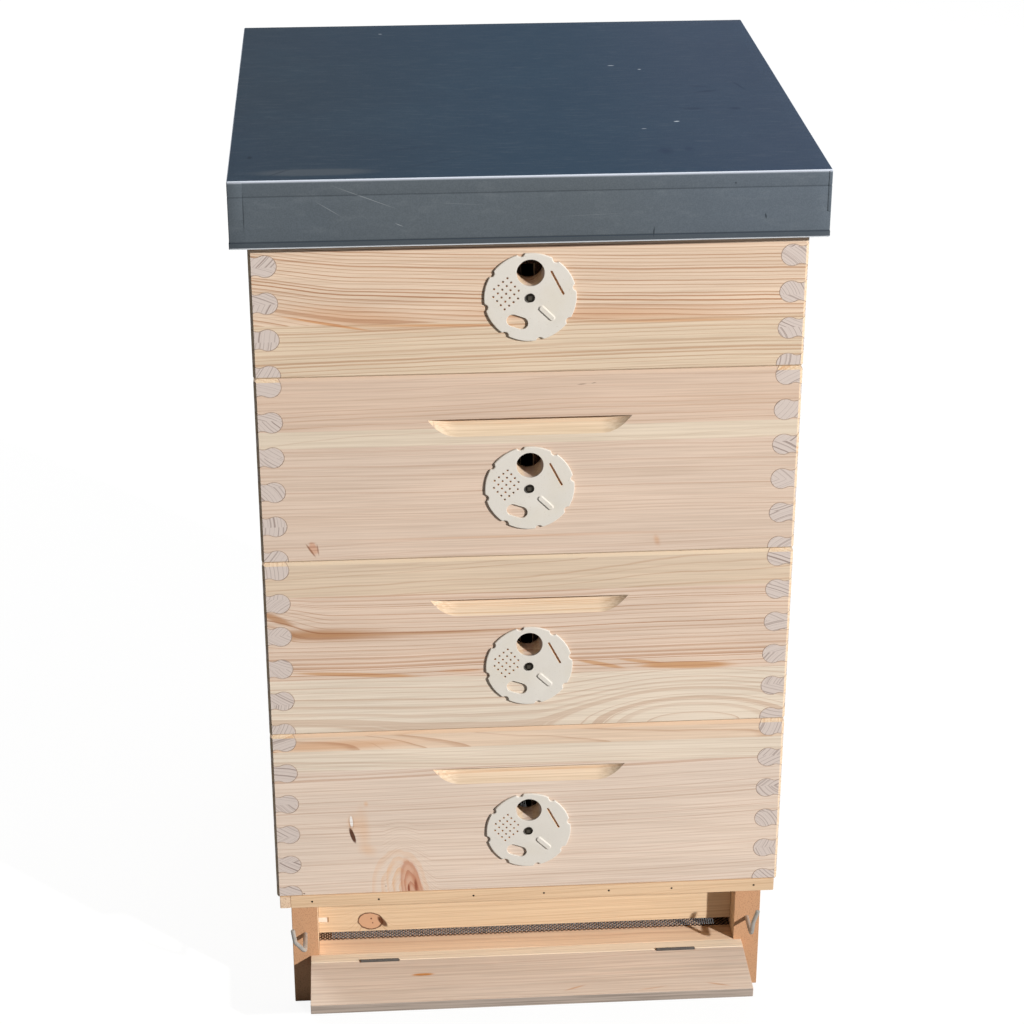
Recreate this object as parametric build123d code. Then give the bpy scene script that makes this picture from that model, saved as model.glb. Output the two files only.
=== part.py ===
from build123d import *
import os
from math import cos, radians, sin

# A square multi-box beehive: a high floor with a hinged landing flap, four equal boxes of
# finger-jointed pine, a thin crown board and a telescoping sheet-metal lid.
# Millimetres, +Z up. Each piece is drawn with y = 0 on the boxes' front faces and z = 0 on the
# ground, and save() moves it so that the origin lies under the middle of the whole hive.

# Boxes
BOX_COUNT = 4
BOX_WIDTH = 480.0
BOX_DEPTH = 490.0
BOX_HEIGHT = 177.0
WALL = 24.0
TOP_CHAMFER = 3.5
BOTTOM_CHAMFER = 1.5
CORNER_CHAMFER = 2.5

# Rounded finger joints at the corners of a box
FINGER_STEPS = 5
BULB_RADIUS = 9.8
NECK_HEIGHT = 15.6
NECK_RADIUS = 8.0
FINGER_CLEARANCE = 0.1
FINGER_BOTTOM = 2.4
FINGER_TOP_OVERRUN = 0.2

# Handholds, milled by a leaning round cutter that is led along the board
HANDHOLD_WIDTH = 180.0
HANDHOLD_HEIGHT = 16.5
HANDHOLD_DEPTH = 13.0
HANDHOLD_CUTTER_RADIUS = 39.5
HANDHOLD_TOP = 134.5

# Entrance discs: height over the box's bottom, how much higher each box's disc was set, from
# the lowest box up, and places on the disc's face from its centre
DISC_HEIGHT = 66.0
DISC_DRIFT = (0.0, -0.5, 1.5, 4.0)
DISC_RADIUS = 40.0
DISC_THICKNESS = 2.2
DISC_GAP = 0.3
DISC_HOLE_RADIUS = 12.0
DISC_HOLE_OFFSET = 22.3
BOARD_BORE_RADIUS = 12.5
NOTCH_COUNT = 8
NOTCH_START = 12.0
NOTCH_RADIUS = 3.3
NOTCH_OUTSET = 0.9
NOTCH_LIP_RADIUS = 1.2
VENT_ROWS = 5
VENT_PITCH = 5.0
VENT_RADIUS = 0.9
VENT_CENTRE = (-21.0, 4.0)
VENT_TURN = -50.0
SLIT_LENGTH = 24.5
SLIT_WIDTH = 1.9
SLIT_CENTRE = (23.2, 13.0)
SLIT_TURN = -63.0
OVAL_LENGTH = 19.0
OVAL_WIDTH = 11.0
OVAL_CENTRE = (-11.3, -22.0)
OVAL_TURN = -20.0
GRIP_LENGTH = 17.0
GRIP_WIDTH = 4.6
GRIP_RISE = 2.2
GRIP_CENTRE = (14.2, -14.4)
GRIP_TURN = -45.0
SCREW_RADIUS = 2.0
SCREW_HEAD_RADIUS = 4.0
SCREW_HEAD_HEIGHT = 2.0
SCREW_HEAD_EASE = 0.7
SCREW_GRIP = 16.0
SCREW_RUNNING_FIT = 0.08
SCREW_HEAD_GAP = 0.2

# Frames that hang inside each box, front to back
FRAME_PITCH = 36.0
FRAME_GAP = 0.5
REBATE_WIDTH = 12.0
REBATE_DEPTH = 13.0
LUG_HEIGHT = 10.0
LUG_END_GAP = 1.5
BEE_SPACE = 7.0
FRAME_BOTTOM_GAP = 6.0
TOP_BAR_WIDTH = 25.0
TOP_BAR_HEIGHT = 15.0
SIDE_BAR_THICKNESS = 9.0
SIDE_BAR_WIDTH = 25.0
SPACER_HEIGHT = 70.0
BOTTOM_BAR_WIDTH = 20.0
BOTTOM_BAR_HEIGHT = 10.0
WAX_THICKNESS = 3.0
WAX_SIDE_GAP = 0.3

# Lid and crown board
CROWN_THICKNESS = 2.5
LINING_THICKNESS = 2.5
SHEET_THICKNESS = 0.7
LID_OVERHANG = 14.5
LID_SKIRT_HEIGHT = 60.0
LID_SIDE_CLEARANCE = 3.0
LID_FOLD_RADIUS = 1.0
LID_HEM_RETURN = 9.0
RIM_HEIGHT = 46.0

# Floor
FLOOR_HEIGHT = 130.0
FLOOR_SIDE_THICKNESS = 25.0
FLOOR_SIDE_INSET = 2.5
BATTEN_THICKNESS = 10.0
RAIL_DEPTH = 12.5
RAIL_HEIGHT = 13.0
PLANK_TOP = 53.5
PLANK_DEPTH = 25.0
PLANK_HEIGHT = 25.0
SLOT_HEIGHT = 9.5
RECESS_DEPTH = 23.5
FRONT_BOARD_THICKNESS = 24.0
BACK_BOARD_THICKNESS = 24.0
LINTEL_HEIGHT = 19.0
MORTISE_WIDTH = 9.5
MORTISE_HEIGHT = 6.0
MORTISE_DEPTH = 1.4
MORTISE_BOTTOM = 74.5
MESH_THICKNESS = 1.2
MESH_GAP = 0.3
MESH_BORDER = 9.0
MESH_BAR = 3.0
MESH_WINDOWS = 17
LEDGE_SIZE = 12.0

# Nails along the front rail: even places, and how far to the side each was driven
RAIL_NAIL_DRIFT = (8.0, 0.0, 19.0, 15.0, 6.0, -5.0, 3.0)
NAIL_RADIUS = 0.7
NAIL_HEAD_RADIUS = 1.0
NAIL_HEAD_HEIGHT = 0.8
NAIL_LENGTH = 30.0
NAIL_CLEARANCE = 0.05

# Landing flap and its two butt hinges
FLAP_THICKNESS = 10.0
FLAP_SAG = 2.0
FLAP_STOP_CLEARANCE = 0.25
FLAP_RAIL_OVERLAP = 2.5
HINGE_SPACING = 288.0
HINGE_LENGTH = 37.0
KNUCKLES = 5
KNUCKLE_RADIUS = 1.5
KNUCKLE_GAP = 0.3
KNUCKLE_ROOM = 0.4
LEAF_THICKNESS = 1.2
LEAF_HEIGHT = 8.0
PIN_RADIUS = 0.7
PIN_CLEARANCE = 0.05
LEAF_SCREW_SPACING = 20.0
LEAF_SCREW_DROP = 5.2
LEAF_SCREW_RADIUS = 0.9
LEAF_SCREW_HEAD_RADIUS = 1.8
LEAF_SCREW_HEAD_HEIGHT = 0.8
LEAF_SCREW_LENGTH = 9.0

# Turning hooks that hold the closed flap
HOOK_RADIUS = 2.1
HOOK_HEIGHT = 78.5
HOOK_SIDE_GAP = 2.4
HOOK_FLAP_GAP = 4.15
HOOK_FINGER = 27.0
HOOK_BEND = 4.0
HOOK_GRIP = 22.0
HOOK_RUNNING_FIT = 0.05
LEFT_HOOK_TILT = 24.0
RIGHT_HOOK_TILT = 12.0
LEFT_HOOK_KNEE = 4.0
RIGHT_HOOK_KNEE = -1.4

# How far a cutter reaches past the face that it cuts, and a length too small to matter
REACH = 5.0
HAIR = 0.001

# Values that follow from the sizes above
half_width = BOX_WIDTH / 2
inner_half = half_width - WALL
finger_top = BOX_HEIGHT - NECK_HEIGHT / 2 + FINGER_TOP_OVERRUN
finger_pitch = (finger_top - FINGER_BOTTOM) / FINGER_STEPS
batten_outer = half_width - FLOOR_SIDE_INSET
floor_half = batten_outer - BATTEN_THICKNESS
floor_inner = floor_half - FLOOR_SIDE_THICKNESS
floor_back = BOX_DEPTH - RAIL_DEPTH
rail_bottom = FLOOR_HEIGHT - RAIL_HEIGHT
plank_back = RAIL_DEPTH + PLANK_DEPTH
plank_bottom = PLANK_TOP - PLANK_HEIGHT
front_board_y = RAIL_DEPTH + RECESS_DEPTH
back_board_y = floor_back - BACK_BOARD_THICKNESS
mesh_bottom = PLANK_TOP - MESH_THICKNESS
flap_gap = FLAP_THICKNESS * sin(radians(FLAP_SAG)) + FLAP_STOP_CLEARANCE
flap_length = rail_bottom - PLANK_TOP + FLAP_RAIL_OVERLAP
hinge_y = -flap_gap / 2
hinge_z = PLANK_TOP
hook_x = floor_half - FLOOR_SIDE_THICKNESS / 2
flap_half = hook_x - HOOK_RADIUS - HOOK_SIDE_GAP
hook_y = hinge_y - FLAP_THICKNESS - HOOK_FLAP_GAP - HOOK_RADIUS
stack_top = FLOOR_HEIGHT + BOX_COUNT * BOX_HEIGHT
crown_top = stack_top + CROWN_THICKNESS
lid_top = crown_top + LINING_THICKNESS + SHEET_THICKNESS
lid_bottom = lid_top - LID_SKIRT_HEIGHT
lid_half = half_width + LID_OVERHANG
front_reach = flap_gap / 2 + (flap_gap / 2 + flap_length) * cos(radians(FLAP_SAG))
back_reach = BOX_DEPTH + LID_OVERHANG
origin_y = (front_reach - back_reach) / 2


def save(name, *shapes):
    """Write one node, with the origin under the middle of the hive."""
    solids = [Pos(0, origin_y, 0) * solid for shape in shapes for solid in shape.solids()]
    node = solids[0] if len(solids) == 1 else Compound(solids)
    export_step(node, f"parts/{name}.step")


def block(x0, x1, y0, y1, z0, z1):
    """Return the box between two corners."""
    centre = Pos((x0 + x1) / 2, (y0 + y1) / 2, (z0 + z1) / 2)
    return centre * Box(x1 - x0, y1 - y0, z1 - z0)


def rod_x(x0, x1, y, z, radius):
    """Return a round bar along X."""
    return Pos((x0 + x1) / 2, y, z) * Rot(0, 90, 0) * Cylinder(radius, x1 - x0)


def rod_y(x, y0, y1, z, radius):
    """Return a round bar along Y."""
    return Pos(x, (y0 + y1) / 2, z) * Rot(90, 0, 0) * Cylinder(radius, y1 - y0)


def from_front(profile, y0, y1):
    """Return a profile drawn on the front view, carried from y0 back to y1."""
    return extrude(Plane.XZ.offset(-y0) * profile, amount=y0 - y1)


def cut_all(body, cutters):
    """Return a body with each cutter taken out."""
    for cutter in cutters:
        body -= cutter
    return body


# Boxes


def eased_rectangle(width, height):
    """Return an upright rectangle on z = 0 with the box's top and bottom edges eased."""
    profile = Pos(0, height / 2) * Rectangle(width, height)
    profile = chamfer(profile.vertices().group_by(Axis.Y)[-1], TOP_CHAMFER)
    return chamfer(profile.vertices().group_by(Axis.Y)[0], BOTTOM_CHAMFER)


def box_outline():
    """Return a whole box with every outer edge eased."""
    plan = chamfer(Rectangle(BOX_WIDTH, BOX_DEPTH).vertices(), CORNER_CHAMFER)
    upright = extrude(Pos(0, BOX_DEPTH / 2) * plan, amount=BOX_HEIGHT)
    across = from_front(eased_rectangle(BOX_WIDTH, BOX_HEIGHT), 0, BOX_DEPTH)
    side_view = Pos(BOX_DEPTH / 2, 0) * eased_rectangle(BOX_DEPTH, BOX_HEIGHT)
    along = extrude(Plane.YZ.offset(-half_width) * side_view, BOX_WIDTH)
    return upright & across & along


def corner_fingers(clearance):
    """Return the left side board's finger ends as the front shows them.

    Each finger has a round bulb and a waist between two hollow arcs that meet the bulb smoothly.
    """
    bulb_x = WALL - BULB_RADIUS
    arc_z = NECK_HEIGHT / 2 + NECK_RADIUS
    reach = BULB_RADIUS + NECK_RADIUS
    arc_x = bulb_x - (reach**2 - arc_z**2) ** 0.5
    meet_x = arc_x + NECK_RADIUS / reach * (bulb_x - arc_x)
    waist = Pos(meet_x / 2, 0) * Rectangle(meet_x, 2 * arc_z)
    for side in (-1, 1):
        waist -= Pos(arc_x, side * arc_z) * Circle(NECK_RADIUS - clearance)
    finger = waist + Pos(bulb_x, 0) * Circle(BULB_RADIUS + clearance)
    fingers = Sketch()
    for step in range(FINGER_STEPS + 1):
        fingers += Pos(-half_width, FINGER_BOTTOM + step * finger_pitch) * finger
    return fingers


def handhold_cutter():
    """Return the cutter of a front handhold: a ledge at the top, and a ramp with round ends below."""
    bottom = HANDHOLD_TOP - HANDHOLD_HEIGHT
    slope = (HANDHOLD_DEPTH**2 + HANDHOLD_HEIGHT**2) ** 0.5
    lean = Vector(0, HANDHOLD_DEPTH / slope, HANDHOLD_HEIGHT / slope)
    outward = Vector(0, -HANDHOLD_HEIGHT / slope, HANDHOLD_DEPTH / slope)
    sunk = HANDHOLD_HEIGHT * HANDHOLD_DEPTH / slope
    end_reach = (2 * HANDHOLD_CUTTER_RADIUS * sunk - sunk**2) ** 0.5
    centre = Vector(0, 0, bottom) + outward * HANDHOLD_CUTTER_RADIUS
    across = Plane(origin=centre, x_dir=(1, 0, 0), z_dir=lean)
    track = SlotCenterToCenter(HANDHOLD_WIDTH - 2 * end_reach, 2 * HANDHOLD_CUTTER_RADIUS)
    milled = extrude(across * track, amount=2 * HANDHOLD_CUTTER_RADIUS, both=True)
    room = block(-half_width, half_width, -REACH, HANDHOLD_DEPTH, bottom - REACH, HANDHOLD_TOP)
    return milled & room


def box_boards():
    """Return the boards of a box that stands on z = 0, before the front is bored for its disc."""
    outline = box_outline()
    grip = handhold_cutter()
    sockets = from_front(corner_fingers(FINGER_CLEARANCE), 0, WALL)
    sockets += mirror(sockets, Plane.YZ)
    rebate_y = WALL - REBATE_WIDTH
    rebate_z = BOX_HEIGHT - REBATE_DEPTH
    rebate = block(-inner_half, inner_half, rebate_y, WALL + REACH, rebate_z, BOX_HEIGHT + REACH)
    front = (block(-half_width, half_width, 0, WALL, 0, BOX_HEIGHT) & outline) - sockets - rebate - grip
    turn_back = Pos(0, BOX_DEPTH, 0) * Rot(0, 0, 180)
    back = turn_back * front

    fingers = from_front(corner_fingers(0), 0, WALL)
    left = block(-half_width, -inner_half, WALL, BOX_DEPTH - WALL, 0, BOX_HEIGHT)
    left += fingers + turn_back * mirror(fingers, Plane.YZ)
    left &= outline
    left -= Pos(-half_width, BOX_DEPTH / 2, 0) * Rot(0, 0, -90) * grip
    right = mirror(left, Plane.YZ)
    return {"front": front, "back": back, "left": left, "right": right}


def frame_places():
    """Return the x of each hanging frame."""
    count = int(2 * inner_half // FRAME_PITCH)
    return [(index - (count - 1) / 2) * FRAME_PITCH for index in range(count)]


def box_frames():
    """Return the wooden bars and the wax sheets of all the frames of a box that stands on z = 0."""
    lug_bottom = BOX_HEIGHT - REBATE_DEPTH
    top = lug_bottom + LUG_HEIGHT
    under = top - TOP_BAR_HEIGHT
    lug_y = WALL - REBATE_WIDTH + LUG_END_GAP
    side_y = WALL + BEE_SPACE
    inside_y = side_y + SIDE_BAR_THICKNESS
    bars = []
    sheets = []
    for x in frame_places():
        half = TOP_BAR_WIDTH / 2
        top_bar = block(x - half, x + half, lug_y, BOX_DEPTH - lug_y, lug_bottom, top)
        top_bar += block(x - half, x + half, side_y, BOX_DEPTH - side_y, under, top)
        spacer = (FRAME_PITCH - FRAME_GAP) / 2
        slim = SIDE_BAR_WIDTH / 2
        side_bar = block(x - spacer, x + spacer, side_y, inside_y, under - SPACER_HEIGHT, under)
        side_bar += block(x - slim, x + slim, side_y, inside_y, FRAME_BOTTOM_GAP, under)
        far_bar = Pos(0, BOX_DEPTH - side_y - inside_y, 0) * side_bar
        low = BOTTOM_BAR_WIDTH / 2
        low_top = FRAME_BOTTOM_GAP + BOTTOM_BAR_HEIGHT
        bottom_bar = block(x - low, x + low, inside_y, BOX_DEPTH - inside_y, FRAME_BOTTOM_GAP, low_top)
        bars += [top_bar, side_bar, far_bar, bottom_bar]
        wax = WAX_THICKNESS / 2
        wax_y = inside_y + WAX_SIDE_GAP
        sheets.append(block(x - wax, x + wax, wax_y, BOX_DEPTH - wax_y, low_top, under))
    return bars, sheets


def on_disc(place, turn=0):
    """Return a place on the disc's face, from its centre."""
    return Pos(*place) * Rot(0, 0, turn)


def on_rim(corner):
    """Tell whether a corner lies on the disc's round rim."""
    return abs((corner.X**2 + corner.Y**2) ** 0.5 - DISC_RADIUS) < HAIR


def entrance_disc():
    """Return the turning plate that opens, vents or shuts the bore, on a box that stands on z = 0."""
    face = Circle(DISC_RADIUS)
    for index in range(NOTCH_COUNT):
        turn = NOTCH_START + index * 360 / NOTCH_COUNT
        face -= Rot(0, 0, turn) * Pos(DISC_RADIUS + NOTCH_OUTSET, 0) * Circle(NOTCH_RADIUS)
    face = fillet(face.vertices().filter_by(on_rim), NOTCH_LIP_RADIUS)
    face -= Circle(SCREW_RADIUS + SCREW_RUNNING_FIT)
    face -= on_disc((0, DISC_HOLE_OFFSET)) * Circle(DISC_HOLE_RADIUS)
    face -= on_disc(SLIT_CENTRE, SLIT_TURN) * SlotOverall(SLIT_LENGTH, SLIT_WIDTH)
    face -= on_disc(OVAL_CENTRE, OVAL_TURN) * SlotOverall(OVAL_LENGTH, OVAL_WIDTH)
    last = VENT_ROWS - 1
    for row in range(VENT_ROWS):
        for column in range(VENT_ROWS):
            if row == column and row in (0, last):
                continue
            spot = Pos((column - last / 2) * VENT_PITCH, (row - last / 2) * VENT_PITCH)
            face -= on_disc(VENT_CENTRE, VENT_TURN) * spot * Circle(VENT_RADIUS)
    grip = on_disc(GRIP_CENTRE, GRIP_TURN) * SlotOverall(GRIP_LENGTH, GRIP_WIDTH)
    plate = from_front(face, -DISC_GAP - DISC_THICKNESS, -DISC_GAP)
    plate += from_front(grip, -DISC_GAP - DISC_THICKNESS - GRIP_RISE, -DISC_GAP - DISC_THICKNESS)
    return Pos(0, 0, DISC_HEIGHT) * plate


def disc_bores():
    """Return what is bored out of a front board that stands on z = 0: bees' bore and screw hole."""
    bore_z = DISC_HEIGHT + DISC_HOLE_OFFSET
    bore = rod_y(0, -REACH, WALL + REACH, bore_z, BOARD_BORE_RADIUS)
    return [bore, rod_y(0, -REACH, SCREW_GRIP, DISC_HEIGHT, SCREW_RADIUS)]


def disc_screw():
    """Return the screw that the disc turns on, for a box that stands on z = 0."""
    seat = -DISC_GAP - DISC_THICKNESS - SCREW_HEAD_GAP
    head = rod_y(0, seat - SCREW_HEAD_HEIGHT, seat, DISC_HEIGHT, SCREW_HEAD_RADIUS)
    head = fillet(head.faces().sort_by(Axis.Y)[0].edges(), SCREW_HEAD_EASE)
    return head + rod_y(0, seat, SCREW_GRIP, DISC_HEIGHT, SCREW_RADIUS)


def make_boxes():
    """Write the boards, disc, screw and frames of each box, from the lowest up."""
    boards = box_boards()
    disc = entrance_disc()
    screw = disc_screw()
    bars, sheets = box_frames()
    for index in range(BOX_COUNT):
        name = f"box_{index + 1}"
        lift = Pos(0, 0, FLOOR_HEIGHT + index * BOX_HEIGHT)
        drift = Pos(0, 0, DISC_DRIFT[index % len(DISC_DRIFT)])
        for side, board in boards.items():
            cutters = disc_bores() if side == "front" else []
            save(f"{name}_{side}_board", lift * cut_all(board, [drift * bore for bore in cutters]))
        save(f"{name}_entrance_disc", lift * drift * disc)
        save(f"{name}_disc_screw", lift * drift * screw)
        save(f"{name}_frames", *[lift * bar for bar in bars])
        save(f"{name}_foundation", *[lift * sheet for sheet in sheets])


# Lid


def make_lid():
    """Write the crown board and the lid: sheet-metal cap, lining and wooden rim."""
    save("crown_board", block(-half_width, half_width, 0, BOX_DEPTH, stack_top, crown_top))
    front = -LID_OVERHANG
    back = BOX_DEPTH + LID_OVERHANG
    cap = block(-lid_half, lid_half, front, back, lid_bottom, lid_top)
    folds = cap.edges().filter_by(Axis.Z) + cap.faces().sort_by(Axis.Z)[-1].edges()
    cap = fillet(folds, LID_FOLD_RADIUS)
    in_half = lid_half - SHEET_THICKNESS
    in_front = front + SHEET_THICKNESS
    in_back = back - SHEET_THICKNESS
    in_top = lid_top - SHEET_THICKNESS
    in_bottom = lid_bottom + SHEET_THICKNESS
    cap -= block(-in_half, in_half, in_front, in_back, in_bottom, in_top)
    hem = LID_HEM_RETURN
    cap -= block(-lid_half + hem, lid_half - hem, front + hem, back - hem, lid_bottom - REACH, in_bottom)
    save("lid_sheet", cap)
    save("lid_lining", block(-in_half, in_half, in_front, in_back, crown_top, in_top))
    rim = LID_OVERHANG - SHEET_THICKNESS - LID_SIDE_CLEARANCE
    rim_bottom = max(crown_top - RIM_HEIGHT, in_bottom)
    rim_half = in_half - rim
    save(
        "lid_rim",
        block(-in_half, in_half, in_front, in_front + rim, rim_bottom, crown_top),
        block(-in_half, in_half, in_back - rim, in_back, rim_bottom, crown_top),
        block(-in_half, -rim_half, in_front + rim, in_back - rim, rim_bottom, crown_top),
        block(rim_half, in_half, in_front + rim, in_back - rim, rim_bottom, crown_top),
    )


# Floor


def rail_nail_places():
    """Return the x of each nail in the front rail."""
    count = len(RAIL_NAIL_DRIFT)
    first = -floor_half + FLOOR_SIDE_THICKNESS / 2
    step = -2 * first / (count - 1)
    return [first + index * step + drift for index, drift in enumerate(RAIL_NAIL_DRIFT)]


def rail_nails(clearance):
    """Return the front rail's nails, or their holes when given a clearance."""
    z = FLOOR_HEIGHT - RAIL_HEIGHT / 2
    nails = []
    for x in rail_nail_places():
        nail = rod_y(x, 0, NAIL_HEAD_HEIGHT, z, NAIL_HEAD_RADIUS + clearance)
        nails.append(nail + rod_y(x, 0, NAIL_LENGTH, z, NAIL_RADIUS + clearance))
    return nails


def hook(side, clearance, knee=0):
    """Return a hook that stands up, on the left (-1) or right (1) post, or its hole."""
    tip = HOOK_HEIGHT + HOOK_FINGER
    root = RAIL_DEPTH + HOOK_GRIP
    if clearance:
        return rod_y(side * hook_x, 0, root, HOOK_HEIGHT, HOOK_RADIUS + clearance)
    route = FilletPolyline(
        (side * hook_x, root, HOOK_HEIGHT),
        (side * hook_x, hook_y, HOOK_HEIGHT),
        (side * (hook_x + knee), hook_y, HOOK_HEIGHT + HOOK_FINGER / 2),
        (side * hook_x, hook_y, tip),
        radius=HOOK_BEND,
    )
    section = Plane(origin=route @ 0, z_dir=route % 0) * Circle(HOOK_RADIUS)
    return sweep(section, path=route)


def make_hooks():
    """Write the two hooks, each leaning outwards as it is left when the flap is down."""
    bends = (("left", -1, LEFT_HOOK_TILT, LEFT_HOOK_KNEE), ("right", 1, RIGHT_HOOK_TILT, RIGHT_HOOK_KNEE))
    for name, side, tilt, knee in bends:
        pivot = Pos(side * hook_x, 0, HOOK_HEIGHT)
        lean = pivot * Rot(0, side * tilt, 0) * pivot.inverse()
        save(f"{name}_hook", lean * hook(side, 0, knee))


def make_floor_frame():
    """Write the floor's boards, rails, nails, mesh and ledges."""
    nails = rail_nails(0)
    nail_holes = rail_nails(NAIL_CLEARANCE)
    side = block(floor_inner, floor_half, RAIL_DEPTH, floor_back, 0, FLOOR_HEIGHT)
    save("floor_left_side", cut_all(mirror(side, Plane.YZ), nail_holes) - hook(-1, HOOK_RUNNING_FIT))
    save("floor_right_side", cut_all(side, nail_holes) - hook(1, HOOK_RUNNING_FIT))
    save("rail_nails", *nails)

    rail = block(-floor_half, batten_outer, 0, RAIL_DEPTH, rail_bottom, FLOOR_HEIGHT)
    save("front_rail", cut_all(rail, nail_holes))
    save("back_rail", block(-batten_outer, floor_half, floor_back, BOX_DEPTH, rail_bottom, FLOOR_HEIGHT))
    save("left_batten", block(-batten_outer, -floor_half, 0, floor_back, rail_bottom, FLOOR_HEIGHT))
    batten = block(floor_half, batten_outer, RAIL_DEPTH, BOX_DEPTH, rail_bottom, FLOOR_HEIGHT)
    save("right_batten", batten)

    lintel_bottom = FLOOR_HEIGHT - LINTEL_HEIGHT
    lintel = block(-floor_inner, floor_inner, RAIL_DEPTH, front_board_y, lintel_bottom, FLOOR_HEIGHT)
    save("floor_lintel", cut_all(lintel, nail_holes))
    front_back = front_board_y + FRONT_BOARD_THICKNESS
    slot_top = PLANK_TOP + SLOT_HEIGHT
    front = block(-floor_inner, floor_inner, front_board_y, front_back, slot_top, FLOOR_HEIGHT)
    front -= block(
        -floor_inner,
        -floor_inner + MORTISE_WIDTH,
        front_board_y,
        front_board_y + MORTISE_DEPTH,
        MORTISE_BOTTOM,
        MORTISE_BOTTOM + MORTISE_HEIGHT,
    )
    save("floor_front_board", cut_all(front, nail_holes))
    save("landing_plank", block(-floor_inner, floor_inner, RAIL_DEPTH, plank_back, plank_bottom, PLANK_TOP))
    back = block(-floor_inner, floor_inner, back_board_y, floor_back, plank_bottom, FLOOR_HEIGHT)
    save("floor_back_board", back)

    mesh_width = 2 * (floor_inner - MESH_GAP)
    mesh_depth = back_board_y - plank_back - 2 * MESH_GAP
    step_x = (mesh_width - 2 * MESH_BORDER + MESH_BAR) / MESH_WINDOWS
    step_y = (mesh_depth - 2 * MESH_BORDER + MESH_BAR) / MESH_WINDOWS
    window = Rectangle(step_x - MESH_BAR, step_y - MESH_BAR)
    windows = GridLocations(step_x, step_y, MESH_WINDOWS, MESH_WINDOWS) * window
    net = Rectangle(mesh_width, mesh_depth) - windows
    mesh_y = (plank_back + back_board_y) / 2
    save("floor_mesh", extrude(Pos(0, mesh_y, mesh_bottom) * net, amount=MESH_THICKNESS))
    ledge_bottom = mesh_bottom - LEDGE_SIZE
    ledge_inner = floor_inner - LEDGE_SIZE
    ledge_front = back_board_y - LEDGE_SIZE
    save(
        "mesh_ledges",
        block(-floor_inner, -ledge_inner, plank_back, back_board_y, ledge_bottom, mesh_bottom),
        block(ledge_inner, floor_inner, plank_back, back_board_y, ledge_bottom, mesh_bottom),
        block(-ledge_inner, ledge_inner, ledge_front, back_board_y, ledge_bottom, mesh_bottom),
    )


# Landing flap


def hinge_leaf(centre, moving):
    """Return one leaf of a butt hinge about the flap's axis, with its knuckles and screw holes."""
    first = centre - HINGE_LENGTH / 2
    last = centre + HINGE_LENGTH / 2
    face = -flap_gap if moving else 0
    inward = -1 if moving else 1
    back = face + inward * LEAF_THICKNESS
    leaf = block(first, last, min(face, back), max(face, back), hinge_z - LEAF_HEIGHT, hinge_z)
    span = HINGE_LENGTH / KNUCKLES
    side_gap = KNUCKLE_GAP / 2
    room = KNUCKLE_RADIUS + KNUCKLE_GAP
    own = []
    for index in range(KNUCKLES):
        start = first + index * span
        end = start + span
        if (index % 2 == 1) == moving:
            own.append(rod_x(start + side_gap, end - side_gap, hinge_y, hinge_z, KNUCKLE_RADIUS))
        else:
            leaf -= rod_x(start - side_gap, end + side_gap, hinge_y, hinge_z, room)
    for knuckle in own:
        leaf += knuckle
    leaf -= rod_x(first, last, hinge_y, hinge_z, PIN_RADIUS + PIN_CLEARANCE)
    return cut_all(leaf, leaf_screws(centre, moving))


def leaf_screws(centre, moving):
    """Return the two flush screws of one leaf."""
    face = -flap_gap if moving else 0
    inward = -1 if moving else 1
    z = hinge_z - LEAF_SCREW_DROP
    under_head = face + inward * LEAF_SCREW_HEAD_HEIGHT
    point = face + inward * LEAF_SCREW_LENGTH
    screws = []
    for side in (-1, 1):
        x = centre + side * LEAF_SCREW_SPACING / 2
        head = rod_y(x, min(face, under_head), max(face, under_head), z, LEAF_SCREW_HEAD_RADIUS)
        screws.append(head + rod_y(x, min(face, point), max(face, point), z, LEAF_SCREW_RADIUS))
    return screws


def leaf_seat(centre, moving):
    """Return what is cut from the wood for one leaf: its recess and room for the knuckles."""
    first = centre - HINGE_LENGTH / 2
    last = centre + HINGE_LENGTH / 2
    face = -flap_gap if moving else 0
    back = face - LEAF_THICKNESS if moving else LEAF_THICKNESS
    recess = block(first, last, min(face, back), max(face, back), hinge_z - LEAF_HEIGHT, hinge_z)
    room = rod_x(first - KNUCKLE_ROOM, last + KNUCKLE_ROOM, hinge_y, hinge_z, KNUCKLE_RADIUS + KNUCKLE_ROOM)
    return [recess, room]


def make_flap():
    """Write the hinge strip, the flap and the two hinges between them, with the flap let down."""
    centres = (-HINGE_SPACING / 2, HINGE_SPACING / 2)
    strip = block(-flap_half, flap_half, 0, RAIL_DEPTH, PLANK_TOP - RAIL_HEIGHT, PLANK_TOP)
    flap_front = -flap_gap - flap_length
    flap_bottom = PLANK_TOP - FLAP_THICKNESS
    board = block(-flap_half, flap_half, flap_front, -flap_gap, flap_bottom, PLANK_TOP)
    for centre in centres:
        strip = cut_all(strip, leaf_seat(centre, False) + leaf_screws(centre, False))
        board = cut_all(board, leaf_seat(centre, True) + leaf_screws(centre, True))
    save("hinge_strip", strip)
    save("strip_hinge_leaves", *[hinge_leaf(centre, False) for centre in centres])
    fixed_screws = [screw for centre in centres for screw in leaf_screws(centre, False)]
    save("strip_hinge_screws", *fixed_screws)
    ends = [(centre - HINGE_LENGTH / 2, centre + HINGE_LENGTH / 2) for centre in centres]
    save("hinge_pins", *[rod_x(first, last, hinge_y, hinge_z, PIN_RADIUS) for first, last in ends])

    axis = Pos(0, hinge_y, hinge_z)
    let_down = axis * Rot(FLAP_SAG, 0, 0) * axis.inverse()
    save("flap_board", let_down * board)
    save("flap_hinge_leaves", *[let_down * hinge_leaf(centre, True) for centre in centres])
    moving_screws = [screw for centre in centres for screw in leaf_screws(centre, True)]
    save("flap_hinge_screws", *[let_down * screw for screw in moving_screws])


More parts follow.
